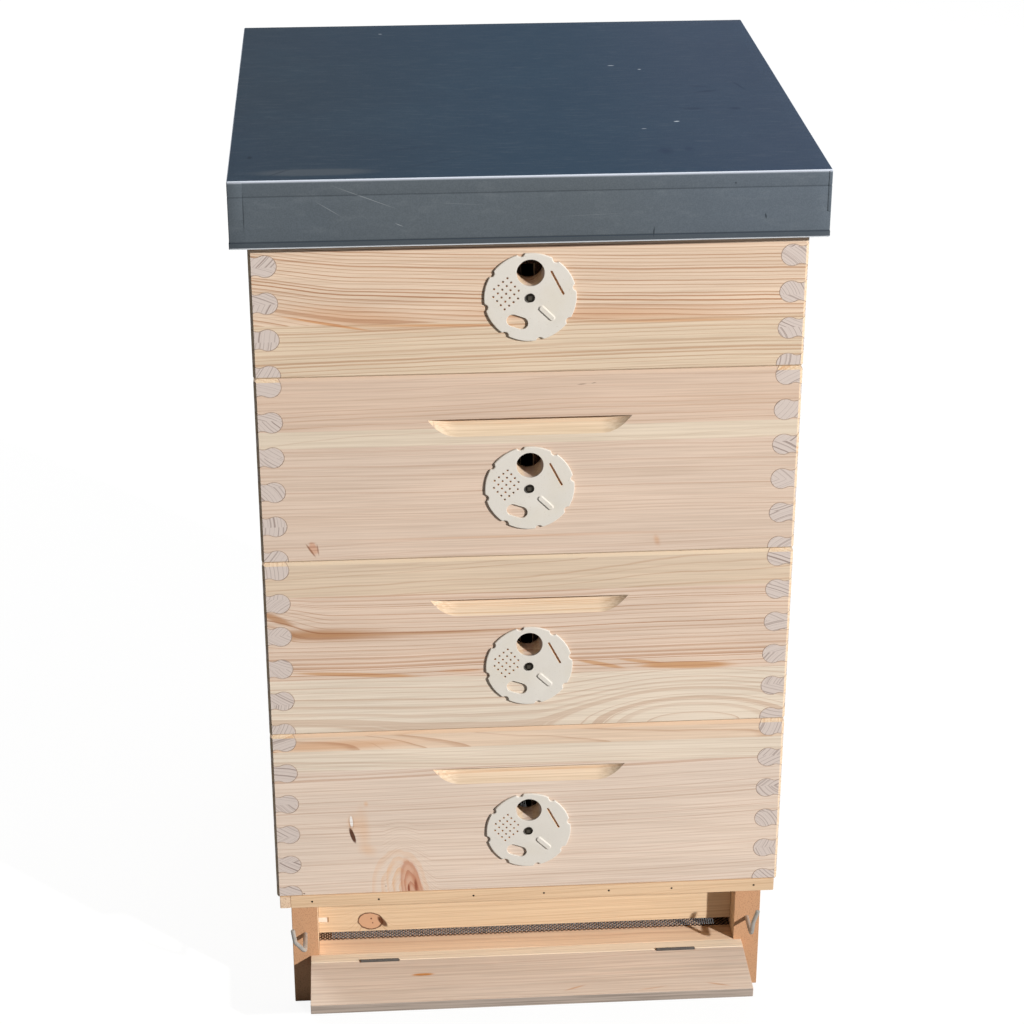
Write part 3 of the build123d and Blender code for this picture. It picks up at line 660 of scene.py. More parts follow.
# Places on the front boards, in metres
FRONT_MARKS = {
    1: (
        Mark(-0.1655, 0.2080, 0.0080, 0.0170, 0, TAN, 0.34, 0.9),
        Mark(-0.1565, 0.2030, 0.0095, 0.0330, 4, TAN, 0.36, 0.95),
        Mark(-0.1525, 0.1790, 0.0130, 0.0090, -20, TAN, 0.34, 0.95),
        Mark(-0.1530, 0.2300, 0.0030, 0.0040, 10, TAN, 0.45, 0.8),
        Mark(-0.1665, 0.1960, 0.0024, 0.0105, 16, DARK_BROWN, 0.95, 0.35),
        Mark(-0.1673, 0.2105, 0.0032, 0.0090, 4, BROWN, 0.60, 0.5),
        # Painted highlight: a near-white spot on the resin slit, standing in for the shine of the resin.
        Mark(-0.1672, 0.2112, 0.0019, 0.0078, 4, RESIN_HIGHLIGHT, 0.95, 0.4),
        Mark(-0.1800, 0.2945, 0.1100, 0.0070, 1, RESIN, 0.50, 0.7),
        Mark(-0.2267, 0.1406, 0.0095, 0.0013, 0, RED_BROWN, 0.80, 0.6),
        Mark(-0.2142, 0.1330, 0.0014, 0.0010, 0, DARK_BROWN, 0.80, 0.6),
        Mark(-0.1363, 0.1381, 0.0011, 0.0010, 0, DARK_BROWN, 0.75, 0.6),
    ),
    2: (
        Mark(-0.1900, 0.4100, 0.1000, 0.0095, -1, BROWN, 0.85, 0.9),
        Mark(-0.0900, 0.4090, 0.1300, 0.0034, 0, BROWN, 0.60, 0.9),
        Mark(-0.2300, 0.4280, 0.0260, 0.0050, -25, BROWN, 0.75, 0.7),
        Mark(-0.1569, 0.3680, 0.0690, 0.0026, -3.5, HONEY, 0.90, 0.45),
        Mark(-0.0620, 0.3690, 0.0260, 0.0026, 0, RESIN, 0.45, 0.6),
        Mark(0.0660, 0.3713, 0.0280, 0.0026, -13, HONEY, 0.85, 0.5),
        Mark(0.1060, 0.3722, 0.0300, 0.0022, -9, HONEY, 0.80, 0.5),
        Mark(0.1460, 0.3674, 0.0540, 0.0044, -1, HONEY, 0.95, 0.45),
    ),
    3: (
        Mark(-0.1934, 0.4974, 0.0044, 0.0080, 20, ROSE, 0.85, 0.45),
        Mark(-0.1958, 0.4954, 0.0012, 0.0100, 32, BARK, 0.85, 0.6),
        Mark(-0.1894, 0.4960, 0.0010, 0.0072, 7, BARK, 0.65, 0.6),
        Mark(-0.1945, 0.5028, 0.0052, 0.0008, 0, BARK, 0.50, 0.7),
        Mark(0.1150, 0.4960, 0.0040, 0.0085, 16, RESIN, 0.42, 0.9),
        Mark(0.0455, 0.6490, 0.0055, 0.0007, 4, DARK_BROWN, 0.55, 0.8),
        Mark(0.0560, 0.6500, 0.0030, 0.0006, 12, DARK_BROWN, 0.5, 0.8),
        Mark(0.0000, 0.5040, 0.2400, 0.0020, 0, RESIN, 0.30, 0.9),
    ),
    4: (
        Mark(-0.1500, 0.7150, 0.1000, 0.0150, -6, RESIN, 0.42, 0.9),
        Mark(0.0600, 0.7140, 0.1900, 0.0110, -1, RESIN, 0.42, 0.9),
        Mark(-0.1750, 0.7105, 0.0500, 0.0016, -11, RESIN, 0.85, 0.6),
        Mark(-0.0700, 0.7066, 0.0900, 0.0020, -1, RESIN, 0.75, 0.8),
        Mark(0.1300, 0.7062, 0.1100, 0.0018, 0, RESIN, 0.55, 0.8),
        # Painted shadow: a dark line across the top box's front just under the lid's hem, where the lid's
        # shadow falls.
        Mark(0.0000, 0.7762, 0.3000, 0.0014, 0, DARK_BROWN, 0.75, 0.6),
    ),
}
# Cracks in the middle of the lowest box's knot
KNOT_CRACKS = (
    Mark(-0.1075, 0.1410, 0.0046, 0.0170, 10, REDDISH, 0.70, 0.8),
    Mark(-0.1145, 0.1340, 0.0013, 0.0070, 2, RED_BROWN, 0.90, 0.5),
    Mark(-0.1075, 0.1370, 0.0019, 0.0100, 6, RED_BROWN, 0.80, 0.6),
)
# Knots, and bends of the grain round knots that the board doesn't show
FRONT_KNOTS = {
    1: (
        Knot(-0.1220, 0.1305, 0.0330, 0.0580, 6, PALE_PINK, TAN, 0.30, 0.3, 0.0, 0.0),
        Knot(-0.1170, 0.1305, 0.0205, 0.0490, 12, PALE_PINK, TAN, 0.45, 0.3, 0.0, 0.0),
        Knot(-0.1108, 0.1305, 0.0120, 0.0430, 9, ROSE, REDDISH, 0.88, 0.3, 0.0, 0.024),
    ),
    2: (
        Knot(-0.2600, 0.4250, 0.0380, 0.0150, 0, PINK, PINK, 0.0, 0.5, 0.0, 0.014),
        Knot(0.1540, 0.3000, 0.0700, 0.0470, 0, PINK, PINK, 0.0, 0.5, 0.0, -0.018),
    ),
    4: (Knot(-0.3000, 0.7300, 0.0700, 0.9000, 0, PINK, PINK, 0.0, 0.5, 0.0, -0.0095),),
}
# Tints of the chamfers along the boxes' top edges
CHAMFER_TINTS = {
    1: colour(215, 185, 157),
    2: colour(218, 199, 174),
    3: colour(209, 186, 166),
    4: colour(221, 196, 170),
}
FLOOR_KNOTS = (Knot(-0.1521, 0.0748, 0.0122, 0.0096, -10, BROWN_KNOT, BROWN_KNOT, 1.0, 0.12, 0.92, 0.010),)
FLOOR_MARKS = (
    Mark(-0.1402, 0.0734, 0.0034, 0.0088, 35, DARK_BROWN, 0.90, 0.4),
    Mark(-0.1511, 0.0775, 0.0011, 0.0013, 0, DARK_BROWN, 0.90, 0.5),
    Mark(-0.1498, 0.0725, 0.0009, 0.0011, 0, DARK_BROWN, 0.80, 0.5),
    Mark(-0.1430, 0.0762, 0.0010, 0.0012, 0, DARK_BROWN, 0.80, 0.5),
)
FLAP_MARKS = (
    Mark(-0.1031, -0.2442, 0.0135, 0.0024, 1, AMBER, 0.95, 0.5),
    Mark(0.0408, -0.2740, 0.0150, 0.0016, 20, AMBER, 0.55, 0.8),
    Mark(0.1780, -0.2770, 0.0160, 0.0015, -16, AMBER, 0.55, 0.8),
    Mark(0.1150, -0.2790, 0.0200, 0.0013, 10, AMBER, 0.35, 0.8),
)


def random_staves(seed, height, width):
    """Return staves of one board, of about a width each, picked by a seed."""
    pick = random.Random(seed)
    count = max(1, round(height / width))
    staves = []
    for index in range(count):
        start = max(0.0, (index + pick.uniform(-0.15, 0.15)) / count) if index else 0.0
        staves.append(
            Stave(
                start,
                pick.choice((PINK, PALE_PINK, YELLOW, STRAW, PALE_YELLOW, ROSY)),
                pick.uniform(0.35, 0.8),
                pick.uniform(0.40, 0.75),
                pick.choice((-1, 1)) * pick.uniform(0.03, 0.12),
                pick.choice((-1, 1)) * pick.uniform(0.02, 0.08),
                pick.uniform(-0.03, 0.04),
            )
        )
    return staves


def packed_stave(stave):
    """Return a stave's taper and pith as a colour with its line strength as alpha."""
    taper = 0.5 + stave.taper / (2 * TAPER_REACH)
    behind = 0.5 + stave.pith_behind / (2 * PITH_REACH)
    across = 0.5 + stave.pith_across / (2 * PITH_REACH)
    return taper, behind, across, stave.lines


def mark_place(nodes, place, mark, flat):
    """Return a place measured from a mark's middle, on an upright or a flat face."""
    turn = math.radians(mark.turn)
    if flat:
        return nodes.local(
            place, (mark.along, mark.across, 0), (mark.half_along, mark.half_across, FAR), (0, 0, turn)
        )
    return nodes.local(
        place, (mark.along, 0, mark.across), (mark.half_along, FAR, mark.half_across), (0, -turn, 0)
    )


def spot_parts(nodes, place, spot, flat):
    """Return the body, rim, rings and swirl of a mark, knot or scratch."""
    tree = shared_group("Wood knot", build_wood_knot)
    return nodes.group(tree, local=mark_place(nodes, place, spot, flat), softness=spot.softness)


def turned_back(nodes, vector):
    """Return a vector turned so that what runs along Y runs along X."""
    inputs = {"Vector": vector, "Rotation": (0, 0, QUARTER_BACK)}
    return nodes.add("Mapping", inputs, vector_type="VECTOR").outputs[0]


def stave_values(nodes, level, staves, middle):
    """Return the tint, ring width, line strength and pith of the stave at a level."""
    tints, ring = nodes.steps(level, [(s.start, (*s.tint, s.ring)) for s in staves])
    packed, lines = nodes.steps(level, [(s.start, packed_stave(s)) for s in staves])
    reach = (2 * TAPER_REACH, 2 * PITH_REACH, 2 * PITH_REACH)
    pith = nodes.vector("MULTIPLY", nodes.vector("SUBTRACT", packed, (0.5, 0.5, 0.5)), reach)
    return tints, ring, lines, nodes.vector("ADD", pith, (0, middle.y, middle.z))


def swirl_in_stave(nodes, swirl, knot_level, level, staves):
    """Return a knot's swirl, kept inside the stave that the knot lies in."""
    if len(staves) == 1:
        return swirl
    first = max((s.start for s in staves if s.start <= knot_level), default=0.0)
    last = min((s.start for s in staves if s.start > first), default=2.0)
    swirl = nodes.math("MULTIPLY", swirl, nodes.math("GREATER_THAN", level, first))
    return nodes.math("MULTIPLY", swirl, nodes.math("LESS_THAN", level, last))


def planed_face(nodes, grain, late, tints):
    """Return the colour of a planed board: late wood, soft clouds and fine fibres."""
    surface = nodes.mix(late, tints, wood().late_wood)
    clouds = nodes.mix(nodes.remap(grain["Cloud"], 0.35, 0.75), (0.955, 0.95, 0.945), (1.03, 1.015, 1.0))
    surface = nodes.shade(surface, clouds)
    fibres = nodes.mix(nodes.remap(grain["Fibre"], 0.36, 0.68), (1.05, 1.05, 1.05), (0.91, 0.885, 0.86))
    return nodes.shade(surface, fibres)


def routed_face(nodes, grain, late):
    """Return the colour of a freshly routed handhold or chamfer."""
    fresh = nodes.stain(wood().fresh_cut, late, 0.6, wood().resin)
    scored = nodes.mix(nodes.remap(grain["Fibre"], 0.38, 0.66), (1.03, 1.03, 1.03), (0.87, 0.82, 0.75))
    return nodes.shade(fresh, scored)


def sawn_face(nodes, place, grain, end_tint):
    """Return the colour of a sawn end: pores on a tint, or rings where there is none."""
    if not end_tint:
        return nodes.stain(wood().end_grain, grain["Thin Rings"], 0.75, wood().end_lines)
    pores = nodes.remap(nodes.noise(place, 760.0, 2.0), 0.50, 0.66, 0.0, 0.38)
    return nodes.mix(pores, end_tint, wood().pores)


def pine(
    name, node, staves, seed, along="X", flat=False, marks=(), knots=(), cracks=(), worn=0.0, end_tint=None,
    front_tint=None, chamfer_tint=None
):
    """Return the material of one pine board, with its own staves, marks, knots and cracks in the knots."""
    looks = wood()
    material, nodes, shader, coordinates = new_material(name)
    place = coordinates["Object"]
    normal = coordinates["Normal"]
    low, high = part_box(node)
    middle = (low + high) / 2
    if along == "Y":
        place = turned_back(nodes, place)
        normal = turned_back(nodes, normal)
        middle = Matrix.Rotation(QUARTER_BACK, 3, "Z") @ middle
    height = high.z - low.z
    level = nodes.math("DIVIDE", nodes.math("SUBTRACT", nodes.parts(place)[2], low.z), height)
    tints, ring, lines, pith = stave_values(nodes, level, staves, middle)

    bulge = 0.0
    knot_parts = []
    for knot in knots:
        parts = spot_parts(nodes, place, knot, flat)
        knot_parts.append((knot, parts))
        swirl = swirl_in_stave(nodes, parts["Swirl"], (knot.across - low.z) / height, level, staves)
        bulge = nodes.math("MULTIPLY_ADD", swirl, knot.swirl, bulge)
    ring_width = nodes.math("MULTIPLY", ring, 2 * looks.ring_width)
    grain = nodes.group(
        shared_group("Pine grain", build_pine_grain), place=place, pith=pith, ring_width=ring_width,
        wander=looks.wander, bulge=bulge, seed=seed
    )
    cut = nodes.group(shared_group("Cut faces", build_cut_faces), normal=normal)

    # Staves with faint lines get thin ones
    fine = nodes.remap(lines, 0.38, 0.62, 1.0, 0.0)
    thinner = nodes.math("SUBTRACT", grain["Thin Rings"], grain["Rings"])
    late = nodes.math("MULTIPLY", nodes.math("MULTIPLY_ADD", thinner, fine, grain["Rings"]), lines)
    surface = planed_face(nodes, grain, late, tints)
    for mark in marks:
        parts = spot_parts(nodes, place, mark, flat)
        ringed = nodes.math("MULTIPLY", grain["Rings"], 0.5)
        spot = nodes.mix(ringed, mark.colour, looks.late_wood, "MULTIPLY")
        surface = nodes.stain(surface, parts["Body"], mark.strength, spot)
    for knot, parts in knot_parts:
        if knot.show:
            body = nodes.mix(parts["Rings"], knot.body, knot.dark)
            surface = nodes.stain(surface, parts["Body"], knot.show, body)
            surface = nodes.stain(surface, parts["Rim"], knot.rim, DARK_BROWN)
    for crack in cracks:
        parts = spot_parts(nodes, place, crack, flat)
        surface = nodes.stain(surface, parts["Body"], crack.strength, crack.colour)
    fresh = routed_face(nodes, grain, late)
    if chamfer_tint:
        fresh = nodes.mix(nodes.math("GREATER_THAN", level, 1 - CHAMFER_HEIGHT / height), fresh, chamfer_tint)
    surface = nodes.stain(surface, cut["Routed"], 0.75, fresh)
    surface = nodes.mix(cut["Sawn End"], surface, sawn_face(nodes, place, grain, end_tint))
    if front_tint:
        front = nodes.remap(nodes.parts(normal)[1], -0.6, -0.9)
        fibres = nodes.remap(grain["Fibre"], 0.42, 0.66)
        surface = nodes.stain(surface, front, 0.9, nodes.mix(fibres, front_tint, darker(front_tint, 0.6)))
    if worn:
        surface = nodes.stain(surface, handling_marks(nodes, place, 9.0)["Streak"], worn, WEATHERED)

    nodes.fill(shader["Base Color"], surface)
    nodes.fill(shader["Roughness"], nodes.remap(late, 0.0, 1.0, 0.66, 0.50))
    shader["Specular IOR Level"].default_value = 0.25
    relief = nodes.math("MULTIPLY_ADD", grain["Fibre"], 0.5, nodes.math("MULTIPLY", late, 0.5))
    add_bump(nodes, shader, relief, 0.10 * MM, 0.6)
    return material


def plain_wood(name, tone):
    """Return wood of one tone without rings, for the joint lines painted darker as painted shade, and for
    small cuts such as the vents, painted lighter as painted light, and the mortise.
    """
    material, nodes, shader, coordinates = new_material(name)
    mottle = nodes.remap(nodes.noise(coordinates["Object"], 300.0, 3.0), 0.3, 0.7)
    nodes.fill(shader["Base Color"], nodes.mix(mottle, darker(tone, 0.85), tone))
    nodes.fill(shader["Roughness"], nodes.remap(mottle, 0.0, 1.0, 0.8, 0.65))
    return material


class HIVE_OT_box_boards(bpy.types.Operator):
    """Finish the four finger-jointed boards of each box"""

    bl_idname = "hive.box_boards"
    bl_label = "Box boards"

    def execute(self, context):
        # The joint line material paints the boards' rounded edges darker, as painted shade.
        line = plain_wood("Joint line", wood().joint_line_shade)
        for number in range(1, BOX_COUNT + 1):
            for turn, side in enumerate(("front", "back", "left", "right")):
                node = f"box_{number}_{side}_board"
                seed = number * 4.0 + turn
                low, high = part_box(node)
                label = f"Pine, box {number} {side}"
                if side == "front":
                    material = pine(
                        label, node, FRONT_STAVES[number], seed, marks=FRONT_MARKS[number],
                        knots=FRONT_KNOTS.get(number, ()), cracks=KNOT_CRACKS if number == 1 else (),
                        chamfer_tint=CHAMFER_TINTS[number]
                    )
                else:
                    width = BACK_STAVE if side == "back" else SIDE_STAVE
                    staves = random_staves(seed, high.z - low.z, width)
                    material = pine(label, node, staves, seed, "X" if side == "back" else "Y")
                piece = eased_copy(node, wood().box_edge, degrees=50, line=line)
                dress(piece, material, f"box_{number}", "box_pine", node)
        return {"FINISHED"}


# Entrance discs and their screws


# Places on a disc from its middle, across and up, and how far round each one its edges lie
GRIP_PLACE = Vector((14.2 * MM, 0, -14.4 * MM))
VENTS_PLACE = Vector((-21.0 * MM, 0, 4.0 * MM))
SLIT_PLACE = Vector((23.2 * MM, 0, 13.0 * MM))
GRIP_REACH = 10 * MM
EASED_GRIP_REACH = 11 * MM
VENTS_REACH = 15.5 * MM
SLIT_REACH = 12.8 * MM
# How far the solid's grip stands out, how much of that stays, and the share of the radius inside the rim
GRIP_HEIGHT = 2.2 * MM
GRIP_SHARE = 0.6
RIM_SHARE = 0.88
# Painted light: the walls of the vents and slit get a light warm orange, standing in for the light seen
# through them.
LIT_VENT_WALLS = colour(228, 184, 136)


def ivory_plastic():
    """Return the moulded plastic of the entrance discs."""
    material, nodes, shader, coordinates = new_material("Ivory plastic")
    place = coordinates["Object"]
    handling = handling_marks(nodes, place, 26.0)
    surface = nodes.stain(fittings().ivory, handling["Smudge"], 0.35, colour(214, 204, 186))
    surface = nodes.stain(surface, handling["Speck"], 0.25, colour(170, 150, 124))
    nodes.fill(shader["Base Color"], surface)
    nodes.fill(shader["Roughness"], nodes.remap(handling["Smudge"], 0.0, 1.0, 0.36, 0.52))
    add_bump(nodes, shader, nodes.noise(place, 900.0, 2.0), 0.04 * MM, 0.5)
    return material


class HIVE_OT_entrance_discs(bpy.types.Operator):
    """Finish the turning entrance disc on each box"""

    bl_idname = "hive.entrance_discs"
    bl_label = "Entrance discs"

    def model_disc(self, number, plastic, stained):
        """Make a disc with a soft rim and grip and crisp holes, with painted light on the walls of its vents
        and slit.
        """
        node = f"box_{number}_entrance_disc"
        low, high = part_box(node)
        centre = (low + high) / 2
        rim = RIM_SHARE * (high.x - low.x) / 2

        def near(place, offset, reach):
            return math.hypot(place.x - centre.x - offset.x, place.z - centre.z - offset.z) < reach

        def in_vents(place):
            return near(place, VENTS_PLACE, VENTS_REACH) or near(place, SLIT_PLACE, SLIT_REACH)

        def share(first, second):
            middle = (first + second) / 2
            if near(middle, GRIP_PLACE, GRIP_REACH):
                return 1.0
            if math.hypot(middle.x - centre.x, middle.z - centre.z) > rim:
                return 1.0 if middle.y < high.y - MM else 0.3
            return 0.15 if in_vents(middle) else 0.4

        piece = eased_copy(node, fittings().disc_edge, segments=3, share=share)
        face = low.y + GRIP_HEIGHT
        before = face - 0.01 * MM
        edit(piece)
        pick_vertices(piece, lambda place: near(place, GRIP_PLACE, EASED_GRIP_REACH) and place.y < before)
        bpy.ops.transform.resize(value=(1, GRIP_SHARE, 1), center_override=(0, face, 0))
        end_edit()
        dress(piece, plastic, f"disc_{number}", "disc_plastic", node)
        # The walls of the vents and slit get the painted-light tone.
        paint_faces(piece, stained, lambda place, normal: abs(normal.y) < 0.5 and in_vents(place))

    def execute(self, context):
        plastic = ivory_plastic()
        # Material of the vents' painted light.
        stained = plain_wood("Lit vent walls", LIT_VENT_WALLS)
        for number in range(1, BOX_COUNT + 1):
            self.model_disc(number, plastic, stained)
        return {"FINISHED"}


def steel(name, tone, roughness, rust=0.0, metallic=1.0):
    """Return a plated steel with fine scratches and a little dirt."""
    material, nodes, shader, coordinates = new_material(name)
    handling = handling_marks(nodes, coordinates["Object"], 120.0)
    surface = nodes.stain(tone, handling["Smudge"], 0.5, darker(tone, 0.6))
    surface = nodes.stain(surface, handling["Speck"], rust, colour(120, 72, 40))
    nodes.fill(shader["Base Color"], surface)
    nodes.fill(shader["Roughness"], nodes.remap(handling["Smudge"], 0.0, 1.0, roughness, roughness + 0.2))
    shader["Metallic"].default_value = metallic
    add_bump(nodes, shader, handling["Streak"], 0.03 * MM, 0.4)
    return material


class HIVE_OT_disc_screws(bpy.types.Operator):
    """Model the cross-head screw that each disc turns on"""

    bl_idname = "hive.disc_screws"
    bl_label = "Disc screws"

    def model_screw(self):
        """Return a screw along Y, its head forwards, from the first box's solid."""
        low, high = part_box("box_1_disc_screw")
        centre = (low + high) / 2
        head_radius = (high.x - low.x) / 2
        shaft_radius = 0.5 * head_radius
        head_height = 2.0 * MM
        sides = 28
        deselect_all()
        bpy.ops.mesh.primitive_circle_add(
            vertices=sides, radius=shaft_radius, fill_type="NGON", location=(centre.x, high.y, centre.z),
            rotation=(math.radians(90), 0, 0)
        )
        screw = bpy.context.object
        screw.name = "disc_screw_model"
        settle()
        edit(screw)
        bpy.ops.mesh.select_all(action="SELECT")
        under_head = low.y + head_height
        pivot = (centre.x, 0, centre.z)
        steps = (
            (1.0, under_head), (head_radius / shaft_radius, under_head), (1.0, low.y + 0.62 * head_height),
            (0.93, low.y + 0.35 * head_height), (0.84, low.y + 0.14 * head_height), (0.62, low.y),
        )
        place = high.y
        for scale, target in steps:
            bpy.ops.mesh.extrude_region_move(TRANSFORM_OT_translate={"value": (0, target - place, 0)})
            bpy.ops.transform.resize(value=(scale, 1, scale), center_override=pivot)
            place = target
        bpy.ops.mesh.select_all(action="SELECT")
        bpy.ops.mesh.remove_doubles(threshold=0.001 * MM)
        bpy.ops.mesh.normals_make_consistent(inside=False)
        end_edit()
        cross = self.model_cross(centre, low.y, head_radius)
        apply_modifier(screw, "Cross recess", "BOOLEAN", operation="DIFFERENCE", object=cross, solver="EXACT")
        bpy.data.objects.remove(cross)
        smooth(screw, 40)
        return screw

    def model_cross(self, centre, front, head_radius):
        """Return the cutter of the cross: a square post with its four sides drawn out."""
        arm = fittings().cross_width / 2
        reach = 0.55 * head_radius
        depth = 1.1 * MM
        deselect_all()
        bpy.ops.mesh.primitive_cube_add(size=1, location=(centre.x, front, centre.z))
        cross = stretch_new("cross_cutter", (2 * arm, 2 * depth, 2 * arm))
        edit(cross, "FACE")
        for axis in (Vector((1, 0, 0)), Vector((-1, 0, 0)), Vector((0, 0, 1)), Vector((0, 0, -1))):
            bpy.ops.mesh.select_all(action="DESELECT")
            edge = centre.dot(axis) + 0.9 * arm
            pick_faces(cross, lambda place, normal: normal.dot(axis) > 0.9 and place.dot(axis) > edge)
            bpy.ops.mesh.extrude_region_move(TRANSFORM_OT_translate={"value": axis * (reach - arm)})
        end_edit()
        return cross

    def highlight_cross(self, screw, material):
        """Give the cross of a screw a brighter steel, a painted highlight for the bright middle of its head.
        """
        front = min(vertex.co.y for vertex in screw.data.vertices)
        shallow = front + 0.3 * MM
        deep = front + 1.2 * MM
        paint_faces(screw, material, lambda place, normal: shallow < place.y < deep and normal.y < -0.9)

    def execute(self, context):
        model = self.model_screw()
        material = steel("Dark screw steel", fittings().dark_steel, 0.34)
        # Painted highlight: the cross is brighter steel than the head.
        bright = steel("Cross highlight steel", colour(104, 98, 88), 0.5, 0.0, 0.6)
        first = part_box("box_1_disc_screw")[0]
        for number in range(1, BOX_COUNT + 1):
            node = f"box_{number}_disc_screw"
            piece = bpy.data.objects.new(f"{node}_dressed", model.data.copy())
            context.scene.collection.objects.link(piece)
            piece.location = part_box(node)[0] - first
            select_only(piece)
            settle()
            dress(piece, material, f"box_{number}", "zinc_steel", node)
            self.highlight_cross(piece, bright)
        bpy.data.objects.remove(model)
        return {"FINISHED"}


# Frames and wax inside the boxes


def wax_sheet():
    """Return pressed beeswax with the pattern of six-sided cells on its broad sides."""
    material, nodes, shader, coordinates = new_material("Beeswax foundation")
    place = nodes.parts(coordinates["Object"])
    cell = 5.4 * MM
    flat = nodes.add("CombineXYZ", {0: place[1], 1: place[2]}).outputs[0]
    inputs = {"Vector": flat, "Scale": 1 / cell, "Randomness": 0.06}
    cells = nodes.add("TexVoronoi", inputs, feature="DISTANCE_TO_EDGE")
    wall = nodes.remap(cells.outputs["Distance"], 0.16, 0.02)
    cloud = nodes.noise(coordinates["Object"], 14.0, 3.0)
    wax = wood().wax
    surface = nodes.mix(nodes.remap(cloud, 0.3, 0.7), darker(wax, 0.8), wax)
    surface = nodes.stain(surface, wall, 0.4, colour(238, 200, 122))
    nodes.fill(shader["Base Color"], surface)
    nodes.fill(shader["Roughness"], nodes.remap(cloud, 0.3, 0.7, 0.42, 0.58))
    add_bump(nodes, shader, wall, 0.6 * MM)
    return material


class HIVE_OT_hanging_frames(bpy.types.Operator):
    """Finish the frames that hang in each box, with their wax"""

    bl_idname = "hive.hanging_frames"
    bl_label = "Hanging frames"

    def execute(self, context):
        wax = wax_sheet()
        for number in range(1, BOX_COUNT + 1):
            node = f"box_{number}_frames"
            seed = FRAME_SEED + number
            staves = random_staves(seed, 0.1, 0.1)
            label = f"Frame wood, box {number}"
            # The frames' front and back faces get the near-black end tone, painted shade for the dark inside
            # of the box.
            material = pine(label, node, staves, seed, "Y", end_tint=wood().frame_end_shade)
            piece = eased_copy(node, wood().frame_edge)
            dress(piece, material, f"box_{number}", "frame_wood", node)
            finish_node(f"box_{number}_foundation", wax)
        return {"FINISHED"}


# Lid and crown board


def hardboard(name):
    """Return brown pressed board with its short fibres."""
    material, nodes, shader, coordinates = new_material(name)
    place = coordinates["Object"]
    fibre = nodes.noise(place, 420.0, 4.0, 0.7)
    cloud = nodes.noise(place, 16.0, 3.0)
    base = wood().hardboard
    surface = nodes.mix(nodes.remap(fibre, 0.35, 0.7), darker(base, 0.7), base)
    surface = nodes.stain(surface, nodes.remap(cloud, 0.3, 0.7), 0.3, colour(118, 84, 58))
    nodes.fill(shader["Base Color"], surface)
    nodes.fill(shader["Roughness"], nodes.remap(fibre, 0.3, 0.7, 0.6, 0.8))
    add_bump(nodes, shader, fibre, 0.1 * MM, 0.6)
    return material


class HIVE_OT_crown_board(bpy.types.Operator):
    """Finish the thin crown board under the lid"""

    bl_idname = "hive.crown_board"
    bl_label = "Crown board"

    def execute(self, context):
        piece = eased_copy("crown_board", wood().sheet_edge)
        dress(piece, hardboard("Cover hardboard"), "crown_board", "hardboard", "crown_board")
        return {"FINISHED"}


class HIVE_OT_lid_inside(bpy.types.Operator):
    """Finish the lid's lining and its wooden rim"""

    bl_idname = "hive.lid_inside"
    bl_label = "Lid lining and rim"

    def draw_in(self, piece, node):
        """Make a piece a little narrower, so that the sheet's dents stay clear of it."""
        low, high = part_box(node)
        gap = lid_looks().inner_gap
        size = high - low
        edit(piece)
        bpy.ops.mesh.select_all(action="SELECT")
        bpy.ops.transform.resize(
            value=(1 - 2 * gap / size.x, 1 - 2 * gap / size.y, 1), center_override=(low + high) / 2
        )
        end_edit()

    def execute(self, context):
        lining = eased_copy("lid_lining", wood().sheet_edge)
        self.draw_in(lining, "lid_lining")
        dress(lining, hardboard("Lining hardboard"), "lid", "hardboard", "lid_lining")
        rim = eased_copy("lid_rim", wood().floor_edge)
        self.draw_in(rim, "lid_rim")
        material = pine("Pine, lid rim", "lid_rim", random_staves(RIM_SEED, 0.05, 0.05), RIM_SEED)
        dress(rim, material, "lid", "floor_pine", "lid_rim")
        return {"FINISHED"}


Scratch = namedtuple("Scratch", "along across half_along half_across turn strength softness", defaults=(0.7,))

# Colours of the lid's coating, its edges and its marks, with painted light, shade, reflection and highlights
# among them
# Painted shade at the left of the top, painted light at the right of the top and the skirt
TOP_LEFT_SHADED = colour(48, 61, 74)
TOP_RIGHT_LIT = colour(60, 73, 92)
SKIRT_RIGHT_LIT = colour(102, 110, 118)
CLOUDED = colour(44, 60, 80)
SMUDGED = colour(98, 108, 116)
PRESSED_LINE_SHADE = colour(48, 54, 61)
HEM_SHADE = colour(62, 68, 74)
FOLD_HIGHLIGHT = colour(218, 224, 236)
HEM_HIGHLIGHT = colour(214, 218, 224)
DARK_NICK = colour(40, 46, 52)
BARE_NICK = colour(178, 186, 196)
BRIGHT_NICK = colour(196, 204, 214)
PALE_PATCH = colour(88, 94, 100)
DARK_SPOT = colour(30, 40, 54)
DENT_SHADE = colour(42, 52, 72)
SOFT_DENT_SHADE = colour(42, 54, 76)
FAINT_DENT_SHADE = colour(44, 54, 74)
SCUFF = colour(40, 50, 66)
CORNER_SCUFF = colour(40, 48, 60)

# Scratches and nicks on the front of the skirt, and a painted shade line at the left lap's edge, in metres
SKIRT_SCRATCHES = (
    Scratch(-0.1390, 0.8269, 0.0350, 0.0004, -21.6, 0.60),
    Scratch(-0.1700, 0.8176, 0.0160, 0.0004, -32.6, 0.50),
    Scratch(-0.1115, 0.8027, 0.0046, 0.0005, -24.0, 0.70),
    Scratch(-0.0600, 0.8200, 0.0300, 0.0003, -4.0, 0.25),
    Scratch(0.0500, 0.8080, 0.0420, 0.0003, 2.0, 0.22),
)
SKIRT_NICKS = (
    Scratch(0.1036, 0.7918, 0.0009, 0.0060, -4.0, 0.75),
    Scratch(0.1986, 0.8038, 0.0010, 0.0035, 12.0, 0.75),
    Scratch(0.1719, 0.8334, 0.0011, 0.0011, 0.0, 0.75),
    # Painted shade: a dark line along the inner edge of the left corner lap.
    Scratch(-0.2411, 0.8150, 0.0007, 0.0230, 0.0, 0.60),
)
